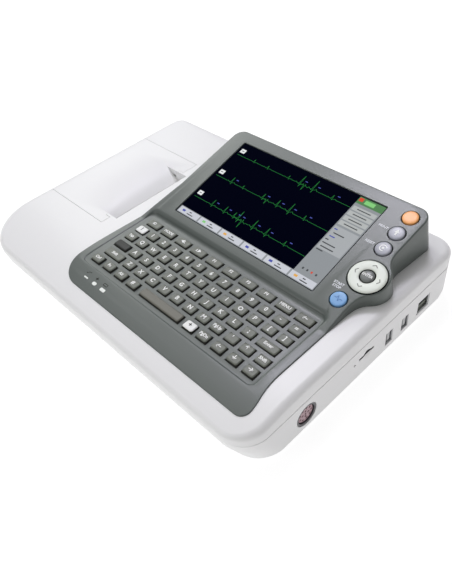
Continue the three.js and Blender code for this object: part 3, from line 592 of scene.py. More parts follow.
def make_lower_case():
    case = lower_solid("lower_shell", 0, SEAM)
    openings = [
        lower_solid("hollow", WALL, SEAM + 2),
        *[port_block(*port) for port in PORTS.values()],
        rod_x(ECG["y"], ECG["z"], ECG["radius"] + 0.3, RIGHT - 8, RIGHT + 5),
        rod_x(MICROPHONE["y"], MICROPHONE["z"], MICROPHONE["radius"], RIGHT - 8, RIGHT + 5, 20),
        inlet_opening(),
        block(BATTERY_BAY["left"], BATTERY_BAY["right"], BATTERY_BAY["front"], BATTERY_BAY["rear"], -1, 10),
        rod_y(STUD["x"], STUD["z"], STUD["radius"], REAR - 8, REAR + 5),
    ]
    y, z, *_ = PORTS["card"]
    lens = [(0.01, -8), (5.4, -7.2), (9.2, -4), (10.6, 0), (9.2, 4), (5.4, 7.2), (0.01, 8)]
    openings.append(turned("scoop", lens, None, Matrix.Translation((RIGHT + 9.2, y + 1, z)), 32))
    openings += [speaker_slot(SPEAKER["y"] + SPEAKER["slot_pitch"] * i) for i in range(-2, 3)]
    openings += [rod_z(x, y, 7.3, -1, BASE + 1) for x, y in FEET]
    openings += [rod_z(x, y, 3.3, -1, 5) for x, y in SCREWS]
    cut(case, openings)
    finish_piece(case, "case", "white_shell", "lower_case")


# ---------------------------------------------------------------- grey panel

CREASE = SCREEN["y"] + (PANEL_DECK - SCREEN["z"]) / math.tan(TILT)


def panel_height(y):
    display = SCREEN["z"] + (y - SCREEN["y"]) * math.tan(TILT)
    return max(cover_height(y) + PANEL_RISE, display)


def bulge_end(angle):
    return (BULGE["x"] + BULGE["radius"] * math.cos(angle), BULGE["y"] + BULGE["radius"] * math.sin(angle))


def panel_outline():
    """The grey panel from above, anticlockwise from its front right toe."""
    quarter = math.pi / 2
    rear, left = PANEL_CORNER["rear"], PANEL_CORNER["front_left"]
    tip = (TOE["x"] + TOE["radius"], PANEL_FRONT + TOE["radius"])
    points = arc_points(TOE["x"], tip[1], TOE["radius"], -quarter, 0, 10)
    points += bezier_points(tip, (tip[0], -91), (PANEL_RIGHT, -84), (PANEL_RIGHT, -68), 12)
    points += [(PANEL_RIGHT, -68), (PANEL_RIGHT, 2)]
    points += bezier_points((PANEL_RIGHT, 2), (150.5, 13), (153.2, 17.5), bulge_end(BULGE["from"]), 10)
    points += arc_points(BULGE["x"], BULGE["y"], BULGE["radius"], BULGE["from"], BULGE["to"], 18)
    points += bezier_points(bulge_end(BULGE["to"]), (153.6, 51.6), (152.2, 55), (152.3, 61), 8)
    points += [(152.3, 61)]
    points += arc_points(144.2, PANEL_REAR - rear, rear, 0, quarter, 10)
    points += arc_points(-42, PANEL_REAR - rear, rear, quarter, math.pi, 10)
    points += [(-52.6, 28)]
    points += bezier_points((-52.6, 28), (-54.6, 8), (-57.6, -20), (PANEL_LEFT, -72), 16)
    points += arc_points(PANEL_LEFT + left, PANEL_FRONT + left, left, math.pi, 1.5 * math.pi, 16)
    return evened(points, 3.0, [CREASE, SLOPE_START] + [CREASE + d for d in (-3, -1.5, 1.5, 3)])


def inset_outline(outline, distance):
    normals = outward_normals(outline)
    return [(x - n.x * distance, y - n.y * distance) for (x, y), n in zip(outline, normals)]


def drafted(x, y, z):
    scale = 1 - PANEL_DRAFT * (z - TOP)
    return (PANEL_DRAFT_X + (x - PANEL_DRAFT_X) * scale, PANEL_FRONT + (y - PANEL_FRONT) * scale, z)


def panel_solid():
    """The panel: walls that lean in, an edge that rolls over, and a top that follows deck and display."""
    outline = panel_outline()
    normals = outward_normals(outline)
    rings = [[], []]
    angles = [math.radians(a) for a in (0, 18, 36, 54, 72, 90)]
    rings += [[] for _ in angles]
    for (x, y), n in zip(outline, normals):
        rings[0].append((x - n.x * 1.2, y - n.y * 1.2, cover_height(y) - 1.6))
        rings[1].append((x, y, cover_height(y) + 0.12))
        radius = min(PANEL_EDGE, panel_height(y) - cover_height(y) - 0.25)
        for ring, angle in zip(rings[2:], angles):
            inward = radius * (1 - math.cos(angle))
            px, py, _ = drafted(x - n.x * inward, y - n.y * inward, panel_height(y))
            ring.append((px, py, panel_height(py) - radius * (1 - math.sin(angle))))
    stations = [CREASE, SLOPE_START] + [SLOPE_START - 4.3 * i for i in range(1, 10)]
    panel = loft("panel_cover", rings, GREY, 30)
    return striped_top(panel, stations)


def rounded_rectangle(x0, x1, y0, y1, radius, steps=5):
    quarter = math.pi / 2
    points = arc_points(x1 - radius, y0 + radius, radius, -quarter, 0, steps)
    points += arc_points(x1 - radius, y1 - radius, radius, 0, quarter, steps)
    points += arc_points(x0 + radius, y1 - radius, radius, quarter, 2 * quarter, steps)
    points += arc_points(x0 + radius, y0 + radius, radius, 2 * quarter, 3 * quarter, steps)
    return points


def tray_floor(y):
    """The keyboard frame's surface, a hair above the white cover."""
    return cover_height(y) + 0.25


def tray_ring(spread, rise, lift=0.0):
    """The keyboard window's outline, moved outwards and up its wall, which is higher below the display."""
    outline = rounded_rectangle(TRAY["left"], TRAY["right"], TRAY["front"], TRAY["rear"], 5.0, 6)
    outline = evened(outline, 4.0, [CREASE, SLOPE_START])
    ring = []
    for (x, y), n in zip(outline, outward_normals(outline)):
        wall = panel_height(y) - tray_floor(y)
        out = spread * (0.5 + 0.9 * wall)
        px, py = x + n.x * out, y + n.y * out
        ring.append((px, py, tray_floor(y) * (1 - rise) + panel_height(py) * rise + lift))
    return ring


def tray_cutter():
    """The keyboard window. Its rims roll over towards the top, most of all at the foot of the display."""
    below, above = (0, 0, -12), (1.1, 1.0, 12)
    roll = [(0, 0, 0), (0, 0.35, 0), (0.1, 0.55, 0), (0.26, 0.72, 0), (0.5, 0.86, 0), (0.75, 0.95, 0)]
    steps = [below, *roll, (1.0, 1.0, 0), (1.1, 1.0, 0.3), above]
    return loft("tray", [tray_ring(*step) for step in steps])


def make_keyboard_frame():
    """The floor of the keyboard window, turned up at its edge, with the key holes."""
    steps = [(0.01, 0, -2.5), (0.01, 0.42, 0), (-0.14, 0.24, 0), (-0.4, 0.08, 0), (-0.85, 0, 0)]
    plate = loft("keyboard_floor", [tray_ring(*step) for step in steps], GREY)
    striped_top(plate, SLOPE_STATIONS[:6])
    holes = []
    for _, line, caps in all_keys():
        y = KEY_BACK - KEY_LINE * line
        for x, width, _ in caps:
            w, d = width / 2 - 0.6, KEY_DEPTH / 2 - 0.6
            holes.append(block(x - w, x + w, y - d, y + d, TOP - 8, TOP + 3))
    cut(plate, [joined(holes)])
    finish_piece(plate, "case", "grey_panel", "keyboard_frame")


def display_prism(outline, h0, h1, name="cutter", material=None):
    return loft(name, [to_display([(u, v, h) for u, v in outline]) for h in (h0, h1)], material)


def display_place(u, v):
    return DISPLAY @ Matrix.Translation((u, v, 0))


def display_disc(u, v, profile, sides=40):
    return turned("cutter", profile, None, display_place(u, v), sides)


def lamp_outlines(grow):
    """A bar, a drop and a battery sign."""
    bar, drop, battery = LAMPS
    y, g = LAMP_Y, grow
    return [
        rounded_rectangle(bar - 2.4 - g, bar + 2.4 + g, y - 0.6 - g, y + 0.6 + g, 0.5, 3),
        rounded_rectangle(drop - 2.2 - g, drop + 2.2 + g, y - 1.5 - g, y + 1.5 + g, 1.4, 5),
        rounded_rectangle(battery - 2.8 - g, battery + 2.8 + g, y - 1.4 - g, y + 1.4 + g, 0.8, 3),
    ]


BUTTONS = {"power": (97.0, 45.0), "report": (96.9, 28.0), "patient": (96.9, 11.4), "start": (96.6, -40.8)}


def make_panel():
    panel = panel_solid()
    w, h = SCREEN["width"] / 2, SCREEN["height"] / 2
    bezel = [rounded_rectangle(-w - g, w + g, -h - g, h + g, 1.2 + g, 4) for g in (0, 0, 0.6)]
    levels = (-4, -0.5, 0.3)
    screen_hole = loft("hole", [to_display([(u, v, z) for u, v in ring]) for ring, z in zip(bezel, levels)])
    r = BUTTON_RADIUS + 0.45
    holes = [display_disc(u, v, [(r, -5), (r, -0.6), (r + 0.7, 0.4)]) for u, v in BUTTONS.values()]
    r = NAV["outer"] + 0.75
    holes.append(display_disc(NAV["u"], NAV["v"], [(r, -5), (r, -0.6), (r + 0.8, 0.4)], 64))
    lamps = [loft("lamp", [[(x, y, z) for x, y in ring] for z in (30, 60)]) for ring in lamp_outlines(0.15)]
    cut(panel, [tray_cutter(), screen_hole, *holes, *lamps], angle=32)
    finish_piece(panel, "case", "grey_panel", "control_panel")

    # Near-black discs at the bottom of the button and ring wells: painted shade, so the gaps round the caps
    # read dark.
    places = [(u, v, BUTTON_RADIUS + 0.6) for u, v in BUTTONS.values()] + [(NAV["u"], NAV["v"], NAV["well"])]
    floor = joined([turned("well", [(r, -4.9), (r, -4.5)], None, display_place(u, v)) for u, v, r in places])
    floor.name = "button_well_shade_discs"
    floor.data.materials.clear()
    floor.data.materials.append(GAP_SHADE)
    finish_piece(floor, "case", "black_plastic")


# ---------------------------------------------------------------- keyboard

# Runs of equal keys: node, line counted from the back, middle of the first cap, pitch, width and legends.
FUNCTIONS = ["ID", "MODE", "◄L", "L►", "F1", "F2", "F3", "F4", "MENU", "←"]
KEY_ROWS = [
    ("function_key_row", 0, -36.9, 18.68, 16.6, FUNCTIONS),
    ("number_key_row", 1, -25.5, KEY_PITCH, KEY_WIDTH, list("1234567890-=")),
    ("upper_letter_key_row", 2, -39.9, KEY_PITCH, KEY_WIDTH, ["Tab", *"QWERTYUIOP[]"]),
    ("home_letter_key_row", 3, -19.9, KEY_PITCH, KEY_WIDTH, list("ASDFGHJKL;")),
    ("lower_letter_key_row", 4, -12.6, 14.66, KEY_WIDTH, [*"ZXCVBNM", "PgUp", "'", "↑", "Shift"]),
    ("modifier_key_row", 5, -39.4, 15.5, 13.4, ["Ctrl", "Fn", "Alt", "#"]),
    ("arrow_key_row", 5, 88.3, 15.2, KEY_WIDTH, ["PgDn", "←", "↓", "→"]),
]
SINGLE_KEYS = [
    ("white_key_back", 1, -39.9, KEY_WIDTH, "!", KEY_WHITE, "white_key"),
    ("blank_key", 3, -36.8, 18.2, "", KEY_DARK, "dark_key"),
    ("space_bar", 5, 41.2, 47.6, "", KEY_SPACE, "grey_key"),
    ("white_key_front", 5, 73.8, KEY_WIDTH, "+", KEY_WHITE, "white_key"),
]
WIDE_KEYS = [("lower_letter_key_row", -32.4, 22.6, "Shift"), ("home_letter_key_row", 128.3, 20.0, "Enter")]


def all_keys():
    """Every moving run of keys as its node, its line, and its caps as middle, width and label."""
    runs = []
    for node, line, first, pitch, width, labels in KEY_ROWS:
        caps = [(first + i * pitch, width, label) for i, label in enumerate(labels)]
        caps += [cap for row, *cap in WIDE_KEYS if row == node]
        runs.append((node, line, caps))
    return runs + [(node, line, [(x, width, label)]) for node, line, x, width, label, *_ in SINGLE_KEYS]


def key_ring(x, y, width, inward, z):
    w, d = width / 2 - inward, KEY_DEPTH / 2 - inward
    outline = rounded_rectangle(x - w, x + w, y - d, y + d, max(0.5, 1.9 - 0.25 * inward), 4)
    return [(px, py, z) for px, py in outline]


# How far in and how high each ring of a cap stands: a tapering skirt, a rolled edge and a dished top.
KEY_FOOT = ((0.7, 45.2), (0.75, 47.2), (0.9, 48.2), (1.2, 48.85))
KEY_HEAD = ((1.2, 48.85), (1.4, 49.25), (1.75, 49.5), (2.3, 49.6), (3.0, 49.57), (3.8, 49.52))


def key_mesh(name, line, caps, profile, material):
    shell = Shell()
    y = KEY_BACK - KEY_LINE * line
    for x, width, _ in caps:
        shell.loft([key_ring(x, y, width, inward, z) for inward, z in profile])
    return build(name, shell.points, shell.faces, material, 50)


def lettering(name, entries, material, size, matrix=None):
    """Flat printed characters, each centred on its own x, y, z, as one mesh."""
    points, faces = [], []
    for text, x, y, z in entries:
        curve = bpy.data.curves.new("text", "FONT")
        curve.body = text
        curve.size = size
        curve.align_x = "CENTER"
        curve.align_y = "CENTER"
        curve.resolution_u = 3
        curve.offset = size * 0.033
        holder = link(bpy.data.objects.new("text", curve))
        depsgraph = bpy.context.evaluated_depsgraph_get()
        mesh = bpy.data.meshes.new_from_object(holder.evaluated_get(depsgraph))
        start = len(points)
        points += [(x + v.co.x, y + v.co.y, z) for v in mesh.vertices]
        faces += [tuple(start + i for i in p.vertices) for p in mesh.polygons]
        bpy.data.objects.remove(holder)
        bpy.data.curves.remove(curve)
        bpy.data.meshes.remove(mesh)
    if matrix:
        points = [matrix @ Vector(p) for p in points]
    return build(name, points, faces, material)


def make_keys():
    looks = {node: (material, slot) for node, *_, material, slot in SINGLE_KEYS}
    for node, line, caps in all_keys():
        material, slot = looks.get(node, (KEY_GREY, "grey_key"))
        finish_piece(key_mesh(f"{node}_caps", line, caps, KEY_HEAD, material), node, slot, node)
        # The skirt rings of every cap, white keys too, get a near-black colour: painted shade for the gaps
        # between the keys.
        finish_piece(key_mesh(f"{node}_painted_shade_skirts", line, caps, KEY_FOOT, SKIRT_SHADE_AND_SIGN_INK), node, "dark_key")
        ink = KEY_DARK if material is KEY_WHITE else LEGEND
        y = KEY_BACK - KEY_LINE * line + 0.5
        for size, long in ((5.0, False), (3.7, True)):
            legends = [(x, text) for x, _, text in caps if text and (len(text) > 1) == long]
            marks = [(text, x - 0.4, y, KEY_TOP + 0.03) for x, text in legends]
            if marks:
                kind = "words" if long else "letters"
                finish_piece(lettering(f"{node}_{kind}", marks, ink, size), node, "white_key")


# ---------------------------------------------------------------- buttons, ring and lamps

def make_buttons():
    """The round buttons, the navigation ring and its centre button, as turned caps on the display's plane."""
    looks = {"power": (ORANGE, "orange_button"), "report": (SILVER, "metal_button"),
             "patient": (SILVER, "metal_button"), "start": (BLUE, "blue_button")}
    r = BUTTON_RADIUS - 0.2
    barrel = [(r - 0.1, -2.8), (r, 0.5)]
    low_dome = [*barrel, (r - 0.15, 0.8), (r - 0.5, 1.02), (r - 1.0, 1.14), (r - 2.2, 1.22), (0.5, 1.26)]
    for name, (u, v) in BUTTONS.items():
        material, slot = looks[name]
        button = turned(f"{name}_button_cap", low_dome, material, display_place(u, v), 48, 60)
        finish_piece(button, f"{name}_button", slot, f"{name}_button")

    place = display_place(NAV["u"], NAV["v"])
    r0, r1 = NAV["inner"], NAV["outer"]
    underside = [(r0, 0.65), (r1 - 1.8, 0.65), (r1 - 1.6, -0.4), (r1 - 0.6, -0.4), (r1, 0.1)]
    ring = [*underside, (r1, 0.5), (r1 - 0.3, 0.95), (r1 - 0.9, 1.25), (r1 - 2.5, 1.4),
            (r0 + 2.0, 1.3), (r0 + 0.8, 1.15), (r0 + 0.15, 0.95)]
    pad = turned("navigation_ring_cap", ring, RING, place, 72, 50, closed=True)
    finish_piece(pad, "navigation_ring", "ring_plastic", "navigation_ring")
    r = NAV["enter"]
    barrel = [(r - 0.1, -2.8), (r, 0.6)]
    centre = [*barrel, (r - 0.2, 1.0), (r - 0.8, 1.4), (r - 2, 1.7), (r - 3.6, 1.9), (0.6, 1.95)]
    enter = turned("enter_button_cap", centre, ENTER_GREY, place, 40, 60)
    finish_piece(enter, "enter_button", "metal_button", "enter_button")
    word = lettering("enter_button_word", [("ENTER", 0, 0, 2.02)], LEGEND, 2.9, place)
    finish_piece(word, "enter_button", "white_key")


def make_button_marks():
    chevrons = Picture(1.44)
    for turn in range(4):
        spin = Matrix.Rotation(math.pi / 2 * turn, 3, "Z")
        arrow = [spin @ Vector(p) for p in ((9.0, -2.1, 0), (10.6, 0, 0), (9.0, 2.1, 0))]
        chevrons.line([(NAV["u"] + p.x, NAV["v"] + p.y) for p in arrow], 0.6, KEY_GREY)
    finish_piece(chevrons.finish("navigation_chevrons"), "navigation_ring", "grey_key")

    u, v = BUTTONS["report"]
    up = Picture(1.34)
    shaft = [(-0.6, -2.6), (0.6, -2.6), (0.9, 0)]
    head = [(2.2, 0), (0, 2.8), (-2.2, 0), (-0.9, 0)]
    up.patch([(u + du, v + dv) for du, dv in shaft + head], LEGEND)
    finish_piece(up.finish("report_button_mark"), "report_button", "white_key")

    u, v = BUTTONS["patient"]
    swirl = Picture(1.34)
    swirl.line(arc_points(u, v, 2.6, 0.4, 5.2, 14), 0.7, LEGEND)
    swirl.patch(arc_points(u, v, 1.0, 0, 2 * math.pi, 12)[:-1], LEGEND)
    finish_piece(swirl.finish("patient_button_mark"), "patient_button", "white_key")

    u, v = BUTTONS["start"]
    pulse = Picture(1.34)
    beat = [(-3.4, 0), (-1.6, 0), (-0.8, 2.2), (0.5, -2.2), (1.3, 0), (3.4, 0)]
    pulse.line([(u + du, v + dv) for du, dv in beat], 0.55, BLUE_INK)
    finish_piece(pulse.finish("start_button_mark"), "start_button", "blue_button")

    (ru, rv), (pu, pv), (su, sv) = BUTTONS["report"], BUTTONS["patient"], BUTTONS["start"]
    words = [("PRINT", ru - 12.2, rv + 0.5, 0.06), ("RESET", pu - 12.2, pv + 0.5, 0.06),
             ("START", su - 8.0, sv + 11.0, 0.06), ("STOP", su - 8.0, sv + 8.0, 0.06)]
    labels = lettering("button_labels", words, LABEL_INK, 3.0, DISPLAY)
    finish_piece(labels, "case", "white_key")


def make_lamps():
    for name, outline in zip(("bar", "drop", "battery"), lamp_outlines(0)):
        top = [(x, y, panel_height(y) + 0.1) for x, y in outline]
        lens = loft(f"lamp_{name}", [[(x, y, 42.5) for x, y in outline], top], LAMP)
        finish_piece(lens, "case", "lamp_plastic")
    link_bar = block(LAMPS[0] - 3, LAMPS[2] + 3, LAMP_Y - 2, LAMP_Y + 2, 40.2, 42.6)
    link_bar.name = "lamp_light_bar"
    repaint(link_bar, LAMP)
    finish_piece(link_bar, "case", "lamp_plastic", "indicator_light_guide")


def deck_lines(name, lines, width, material):
    """Thin marks printed on the deck."""
    points, faces = [], []
    for (x0, y0), (x1, y1) in (pair for line in lines for pair in zip(line, line[1:])):
        across = Vector((y0 - y1, x1 - x0)).normalized() * width / 2
        corners = [(x0 - across.x, y0 - across.y), (x1 - across.x, y1 - across.y),
                   (x1 + across.x, y1 + across.y), (x0 + across.x, y0 + across.y)]
        faces.append(tuple(range(len(points), len(points) + 4)))
        points += [(x, y, panel_height(y) + 0.04) for x, y in corners]
    return build(name, points, faces, material)


def make_lamp_marks():
    """The small dark signs printed behind the three lamps: a plug, a sun and a battery."""
    bar, drop, battery = (x - 1.8 for x in LAMPS)
    y = LAMP_Y + 4.6
    plug = [(bar - 2.4, y - 0.6), (bar - 1.0, y - 1.0), (bar, y + 0.8), (bar + 2.4, y + 1.2)]
    sun = arc_points(drop, y, 0.7, 0, 2 * math.pi, 10)
    rays = [[(drop - 1.7, y), (drop + 1.7, y)], [(drop, y - 1.7), (drop, y + 1.7)]]
    corners = [(-2.2, -1.0), (2.2, -1.0), (2.2, 1.0), (-2.2, 1.0), (-2.2, -1.0)]
    cell = [(battery + dx, y + dy) for dx, dy in corners]
    finish_piece(deck_lines("lamp_marks", [plug, sun, *rays, cell], 0.55, SKIRT_SHADE_AND_SIGN_INK), "case", "dark_key")


# ---------------------------------------------------------------- screen

class Picture:
    """Flat coloured patches printed at one height above the display plane."""

    def __init__(self, height):
        self.height = height
        self.points = []
        self.faces = []
        self.inks = []
        self.materials = []

    def patch(self, outline, material, lift=0.0):
        if material not in self.materials:
            self.materials.append(material)
        start = len(self.points)
        self.points += to_display([(u, v, self.height + lift) for u, v in outline])
        self.faces.append(tuple(range(start, len(self.points))))
        self.inks.append(self.materials.index(material))

    def box(self, u0, u1, v0, v1, material, lift=0.0):
        self.patch([(u0, v0), (u1, v0), (u1, v1), (u0, v1)], material, lift)

    def line(self, points, width, material, lift=0.0):
        for a, b in zip(points, points[1:]):
            along = Vector((b[0] - a[0], b[1] - a[1]))
            if along.length > 1e-6:
                side = Vector((-along.y, along.x)).normalized() * width / 2
                corners = [(a[0] - side.x, a[1] - side.y), (b[0] - side.x, b[1] - side.y),
                           (b[0] + side.x, b[1] + side.y), (a[0] + side.x, a[1] + side.y)]
                self.patch(corners, material, lift)

    def finish(self, name):
        picture = build(name, self.points, self.faces, None, 180)
        for material in self.materials:
            picture.data.materials.append(material)
        for polygon, ink in zip(picture.data.polygons, self.inks):
            polygon.material_index = ink
        return picture


# The glass's top face, measured from the display plane.
GLASS = -0.9
TRACE_GREEN = glow("trace_green", (0.02, 0.20, 0.04), 1.0)
PALE_FIELD = glow("field_pale", (0.42, 0.44, 0.46), 1.0)
COLUMN_FIELD = glow("field_column", (0.30, 0.32, 0.34), 1.0)
BUTTON_FIELD = glow("field_button", (0.48, 0.50, 0.50), 1.0)
TAB_FIELD = glow("field_tab", (0.62, 0.64, 0.70), 1.0)
WHITE_MARK = glow("mark_white", (0.85, 0.87, 0.88), 1.0)
INK_MARK = glow("mark_ink", (0.07, 0.075, 0.08), 1.0)
RED_MARK = glow("mark_red", (0.70, 0.08, 0.04), 1.0)
GREEN_FIELD = glow("field_green", (0.10, 0.24, 0.10), 1.0)
LIGHT_GREEN = glow("mark_green", (0.25, 0.65, 0.22), 1.0)
BLUE_MARK = glow("mark_blue", (0.08, 0.10, 0.42), 1.0)
AMBER_MARK = glow("mark_amber", (0.80, 0.42, 0.10), 1.0)


def heartbeat(u, base, height):
    """One beat of the trace from its P wave to its T wave."""
    p_wave = [(-4.6, 0), (-3.8, 0.10), (-3.0, 0)]
    spike = [(-1.2, 0), (-0.8, -0.12), (0, 1), (0.6, -0.35), (1.1, 0)]
    t_wave = [(2.4, 0.03), (3.4, 0.16), (4.4, 0)]
    return [(u + du, base + dv * height) for du, dv in p_wave + spike + t_wave]


# Each trace: its zero line, and its beats as place and height.
TRACES = (
    (31.9, ((-53, 3), (-37, 3), (-13, 3), (-0.5, 9), (4.5, -5), (13, 10), (33, 4))),
    (3.8, ((-55, 6), (-41, 3), (-18, 5), (-13, -4), (-2, 6), (11, 9), (27, 4))),
    (-24.1, ((-52, 6), (-37, 6), (-26, 5), (-21, 9), (-16, -7), (-4, 8), (10, 7), (30, 4))),
)


def make_traces(picture, left, right):
    for base, beats in TRACES:
        picture.box(left, left + 5.4, base + 3.0, base + 7.4, WHITE_MARK)
        picture.line([(left + 1.2, base + 5.2), (left + 4.0, base + 5.2)], 0.7, INK_MARK, 0.02)
        trace = [(left, base)]
        for u, height in beats:
            trace += heartbeat(u, base, height)
            if height > 3.5:
                picture.line([(u + 3.2, base + 4.2), (u + 5.6, base + 4.2)], 0.8, BLUE_MARK)
        trace.append((right, base))
        picture.line(trace, 0.36, TRACE_GREEN)


# The lines of patient text in the side column: start, end and ink.
PATIENT_LINES = (
    (2, 5, BLUE_MARK),
    (4, 14, INK_MARK),
    (3, 8, BLUE_MARK),
    (2, 5, INK_MARK),
    (2, 14, INK_MARK),
    (3, 15, INK_MARK),
    (2, 8, INK_MARK),
)


def make_side_column(picture, left, right, top, bottom):
    """The pale column right of the traces: heart rate, four soft keys, patient text and status signs."""
    picture.box(left, right, bottom, top, COLUMN_FIELD)
    picture.box(left, right, top - 7.0, top, GREEN_FIELD, 0.01)
    picture.box(left + 0.8, left + 4.6, top - 4.4, top - 0.9, RED_MARK, 0.02)
    picture.box(left + 6.5, right - 8.5, top - 5.2, top - 1.4, LIGHT_GREEN, 0.02)
    for i in range(4):
        y = top - 12.0 - 5.6 * i
        picture.box(left + 1.2, right - 1.2, y - 2.2, y + 2.2, BUTTON_FIELD, 0.01)
        picture.line([(left + 5.5, y), (right - 6, y)], 0.9, INK_MARK, 0.02)
    picture.box(left + 1.0, right - 1.0, top - 57.0, top - 33.0, PALE_FIELD, 0.01)
    for i, (u0, u1, ink) in enumerate(PATIENT_LINES):
        y = top - 36.0 - 3.7 * i
        picture.line([(left + u0, y), (left + u1, y)], 1.0, ink, 0.02)
    for i, ink in enumerate((INK_MARK, INK_MARK, RED_MARK, INK_MARK)):
        u = left + 4.5 + 4.2 * i
        picture.box(u, u + 1.5, bottom + 4.0, bottom + 5.8, ink, 0.02)


def make_tabs(picture, left, right, bottom, top):
    """The row of six soft keys along the bottom of the screen."""
    picture.box(left, right, bottom, top, COLUMN_FIELD)
    step = (right - left) / 6
    signs = (BLUE_MARK, LIGHT_GREEN, AMBER_MARK, BLUE_MARK, BLUE_MARK, AMBER_MARK)
    for i, sign in enumerate(signs):
        u = left + i * step
        picture.box(u + 0.8, u + step - 0.8, bottom + 0.7, top - 0.5, TAB_FIELD, 0.01)
        picture.box(u + 4.5, u + 7.8, bottom + 2.8, top - 2.4, sign, 0.02)
        picture.line([(u + 12.5, top - 2.5), (u + 15.0, top - 2.5)], 0.9, INK_MARK, 0.02)
        picture.line([(u + 11.0, bottom + 2.4), (u + 18.0, bottom + 2.4)], 0.9, INK_MARK, 0.02)


def make_screen():
    w, h = SCREEN["width"] / 2, SCREEN["height"] / 2
    glass = plastic("screen_glass", (0.0003, 0.0008, 0.006), 0.4, grain=0.0, mottle=0.0, specular=0.03)
    glass.node_tree.nodes["Principled BSDF"].inputs["IOR"].default_value = 1.1
    outline = rounded_rectangle(-w + 0.15, w - 0.15, -h + 0.15, h - 0.15, 1.0, 4)
    pane = display_prism(outline, -2.6, GLASS, "touch_screen_pane", glass)
    finish_piece(pane, "case", "screen_glass", "touch_screen")

    picture = Picture(GLASS + 0.02)
    side, tabs = 51.8, -h + 8.0
    make_traces(picture, -w + 3.0, side - 0.6)
    make_side_column(picture, side, w - 0.8, h - 0.8, tabs)
    make_tabs(picture, -w + 0.8, w - 0.8, -h + 0.8, tabs)
    finish_piece(picture.finish("screen_picture"), "case", "screen_glass")


# ---------------------------------------------------------------- sockets

def make_sockets():
    """The contact carriers seen in the mouths of the right-hand sockets."""
    for name in ("usb_front", "usb_rear"):
        y, z, width, height = PORTS[name]
        tongue = block(RIGHT - 12, RIGHT - 1.4, y - 0.4, y + 2.6, z - height / 2 + 1.2, z + height / 2 - 1.2)
        tongue.name = f"{name}_tongue"
        repaint(tongue, CONTACT)
        finish_piece(tongue, "case", "steel")
    y, z, width, height = PORTS["network"]
    carrier = block(RIGHT - 12, RIGHT - 2.0, y - 5.5, y + 6.3, z - height / 2 + 1.3, z - 1.0)
    carrier.name = "network_contacts"
    repaint(carrier, KEY_GREY)
    finish_piece(carrier, "case", "steel")
    make_ecg_insert()


def make_ecg_insert():
    """The patient-cable socket's pin carrier: a pin hole in the middle, then a ring of 4 and one of 9."""
    y, z, radius = ECG["y"], ECG["z"], ECG["insert"]
    facing = Matrix.Translation((RIGHT, y, z)) @ Matrix.Rotation(math.pi / 2, 4, "Y")
    profile = [(radius, -15), (radius, -1.6), (radius - 0.5, -1.2), (0.5, -1.2)]
    insert = turned("ecg_insert_disc", profile, SOCKET_INSERT, facing)
    pins = [(0, 0)]
    for r, count in ((2.8, 4), (5.7, 9)):
        pins += [(r * math.cos(a), r * math.sin(a)) for a in turns(count)]
    cut(insert, [joined([rod_x(y + dy, z + dz, ECG["pin"], RIGHT - 6, RIGHT, 12) for dy, dz in pins])])
    finish_piece(insert, "case", "socket_insert", "ecg_socket_insert")


# ---------------------------------------------------------------- everything else

# The material of each slot on the CAD pieces that stay in view.
NODE_MATERIALS = {
    "white_shell": WHITE,
    "grey_panel": GREY,
    "grey_key": KEY_GREY,
    "dark_key": KEY_DARK,
    "white_key": KEY_WHITE,
    "orange_button": ORANGE,
    "metal_button": SILVER,
    "blue_button": BLUE,
    "ring_plastic": RING,
    "lamp_plastic": LAMP,
    "black_plastic": BLACK,
    "socket_ring": SOCKET_RING,
    "socket_insert": SOCKET_INSERT,
    "circuit_board": BOARD,
    "steel": STEEL,
    "brass": BRASS,
    "rubber": RUBBER,
    "gear_plastic": ACETAL,
    "battery_wrap": WRAP,
    "paper": PAPER,
    "screen_glass": BLACK,
}


def paint_frame():
    for entry in frame["record"]["subparts"]:
        obj = frame["nodes"][entry["node"]]
        for slot in obj.material_slots:
            slot.material = NODE_MATERIALS[entry["material_slot"]]
        shade(obj, 35)


def area_light(name, location, target, size, power, colour=(1, 1, 1)):
    data = bpy.data.lights.new(name, "AREA")
    data.shape = "RECTANGLE"
    data.size, data.size_y = size
    data.energy = power
    data.color = colour
    lamp = link(bpy.data.objects.new(name, data))
    lamp.location = location
    lamp.rotation_euler = (Vector(target) - Vector(location)).to_track_quat("-Z", "Y").to_euler()
    return lamp


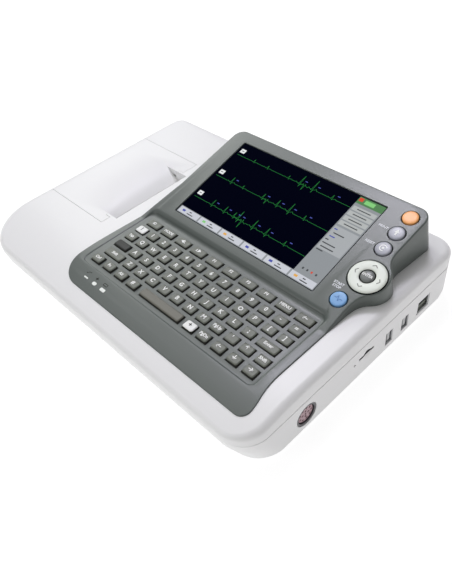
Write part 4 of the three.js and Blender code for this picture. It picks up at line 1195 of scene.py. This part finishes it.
def make_stage():
    """A pale floor, an even surrounding light, four soft lamps and a wide ceiling light."""
    floor_material = bpy.data.materials.new("studio_floor")
    floor_material.use_nodes = True
    shader = floor_material.node_tree.nodes["Principled BSDF"]
    shader.inputs["Base Color"].default_value = (0.25, 0.25, 0.25, 1)
    shader.inputs["Roughness"].default_value = 0.9
    shader.inputs["Emission Color"].default_value = (1, 1, 1, 1)
    shader.inputs["Emission Strength"].default_value = 0.86
    far = 9000
    corners = [(-far, -far, 0), (far, -far, 0), (far, far, 0), (-far, far, 0)]
    build("studio_floor_sheet", corners, [(0, 1, 2, 3)], floor_material)

    world = bpy.data.worlds.new("studio")
    bpy.context.scene.world = world
    world.use_nodes = True
    world.node_tree.nodes["Background"].inputs["Color"].default_value = (1, 1, 1, 1)
    world.node_tree.nodes["Background"].inputs["Strength"].default_value = 0.22
    area_light("key", (-0.37, 0.53, 1.2), (0.1, 0.05, 0.05), (0.28, 0.28), 5.6, (0.90, 0.87, 1.0))
    area_light("left_fill", (-0.9, 0.42, 0.7), (-0.1, 0, 0.03), (0.5, 0.5), 3.0, (0.97, 1.0, 0.96))
    area_light("front_fill", (-0.1, -1.0, 0.5), (0, 0, 0.03), (0.8, 0.5), 3.0)
    area_light("right_fill", (1.1, 0.1, 0.32), (0.1, 0.05, 0.05), (0.5, 0.3), 0.7, (1.0, 0.93, 1.0))
    sun = bpy.data.lights.new("studio_ceiling", "SUN")
    sun.energy = 0.85
    sun.angle = math.radians(50)
    ceiling = link(bpy.data.objects.new("studio_ceiling", sun))
    ceiling.rotation_euler = (math.radians(-6), math.radians(-24), 0)


def make_camera():
    """The camera fitted to the reference view, in metres and degrees."""
    data = bpy.data.cameras.new("camera")
    data.sensor_width = 36.0
    data.lens = 37.137
    data.shift_x = -0.0043
    data.shift_y = -0.0030
    camera = link(bpy.data.objects.new("camera", data))
    camera.location = (0.31898, -0.23777, 0.36400)
    camera.rotation_euler = (math.radians(45.4126), math.radians(5.2723), math.radians(45.7175))
    bpy.context.scene.camera = camera


bpy.context.scene.view_settings.view_transform = "Standard"
make_camera()
paint_frame()
make_covers()
make_lower_case()
make_panel()
make_keyboard_frame()
make_keys()
make_buttons()
make_button_marks()
make_lamps()
make_lamp_marks()
make_screen()
make_sockets()
make_stage()
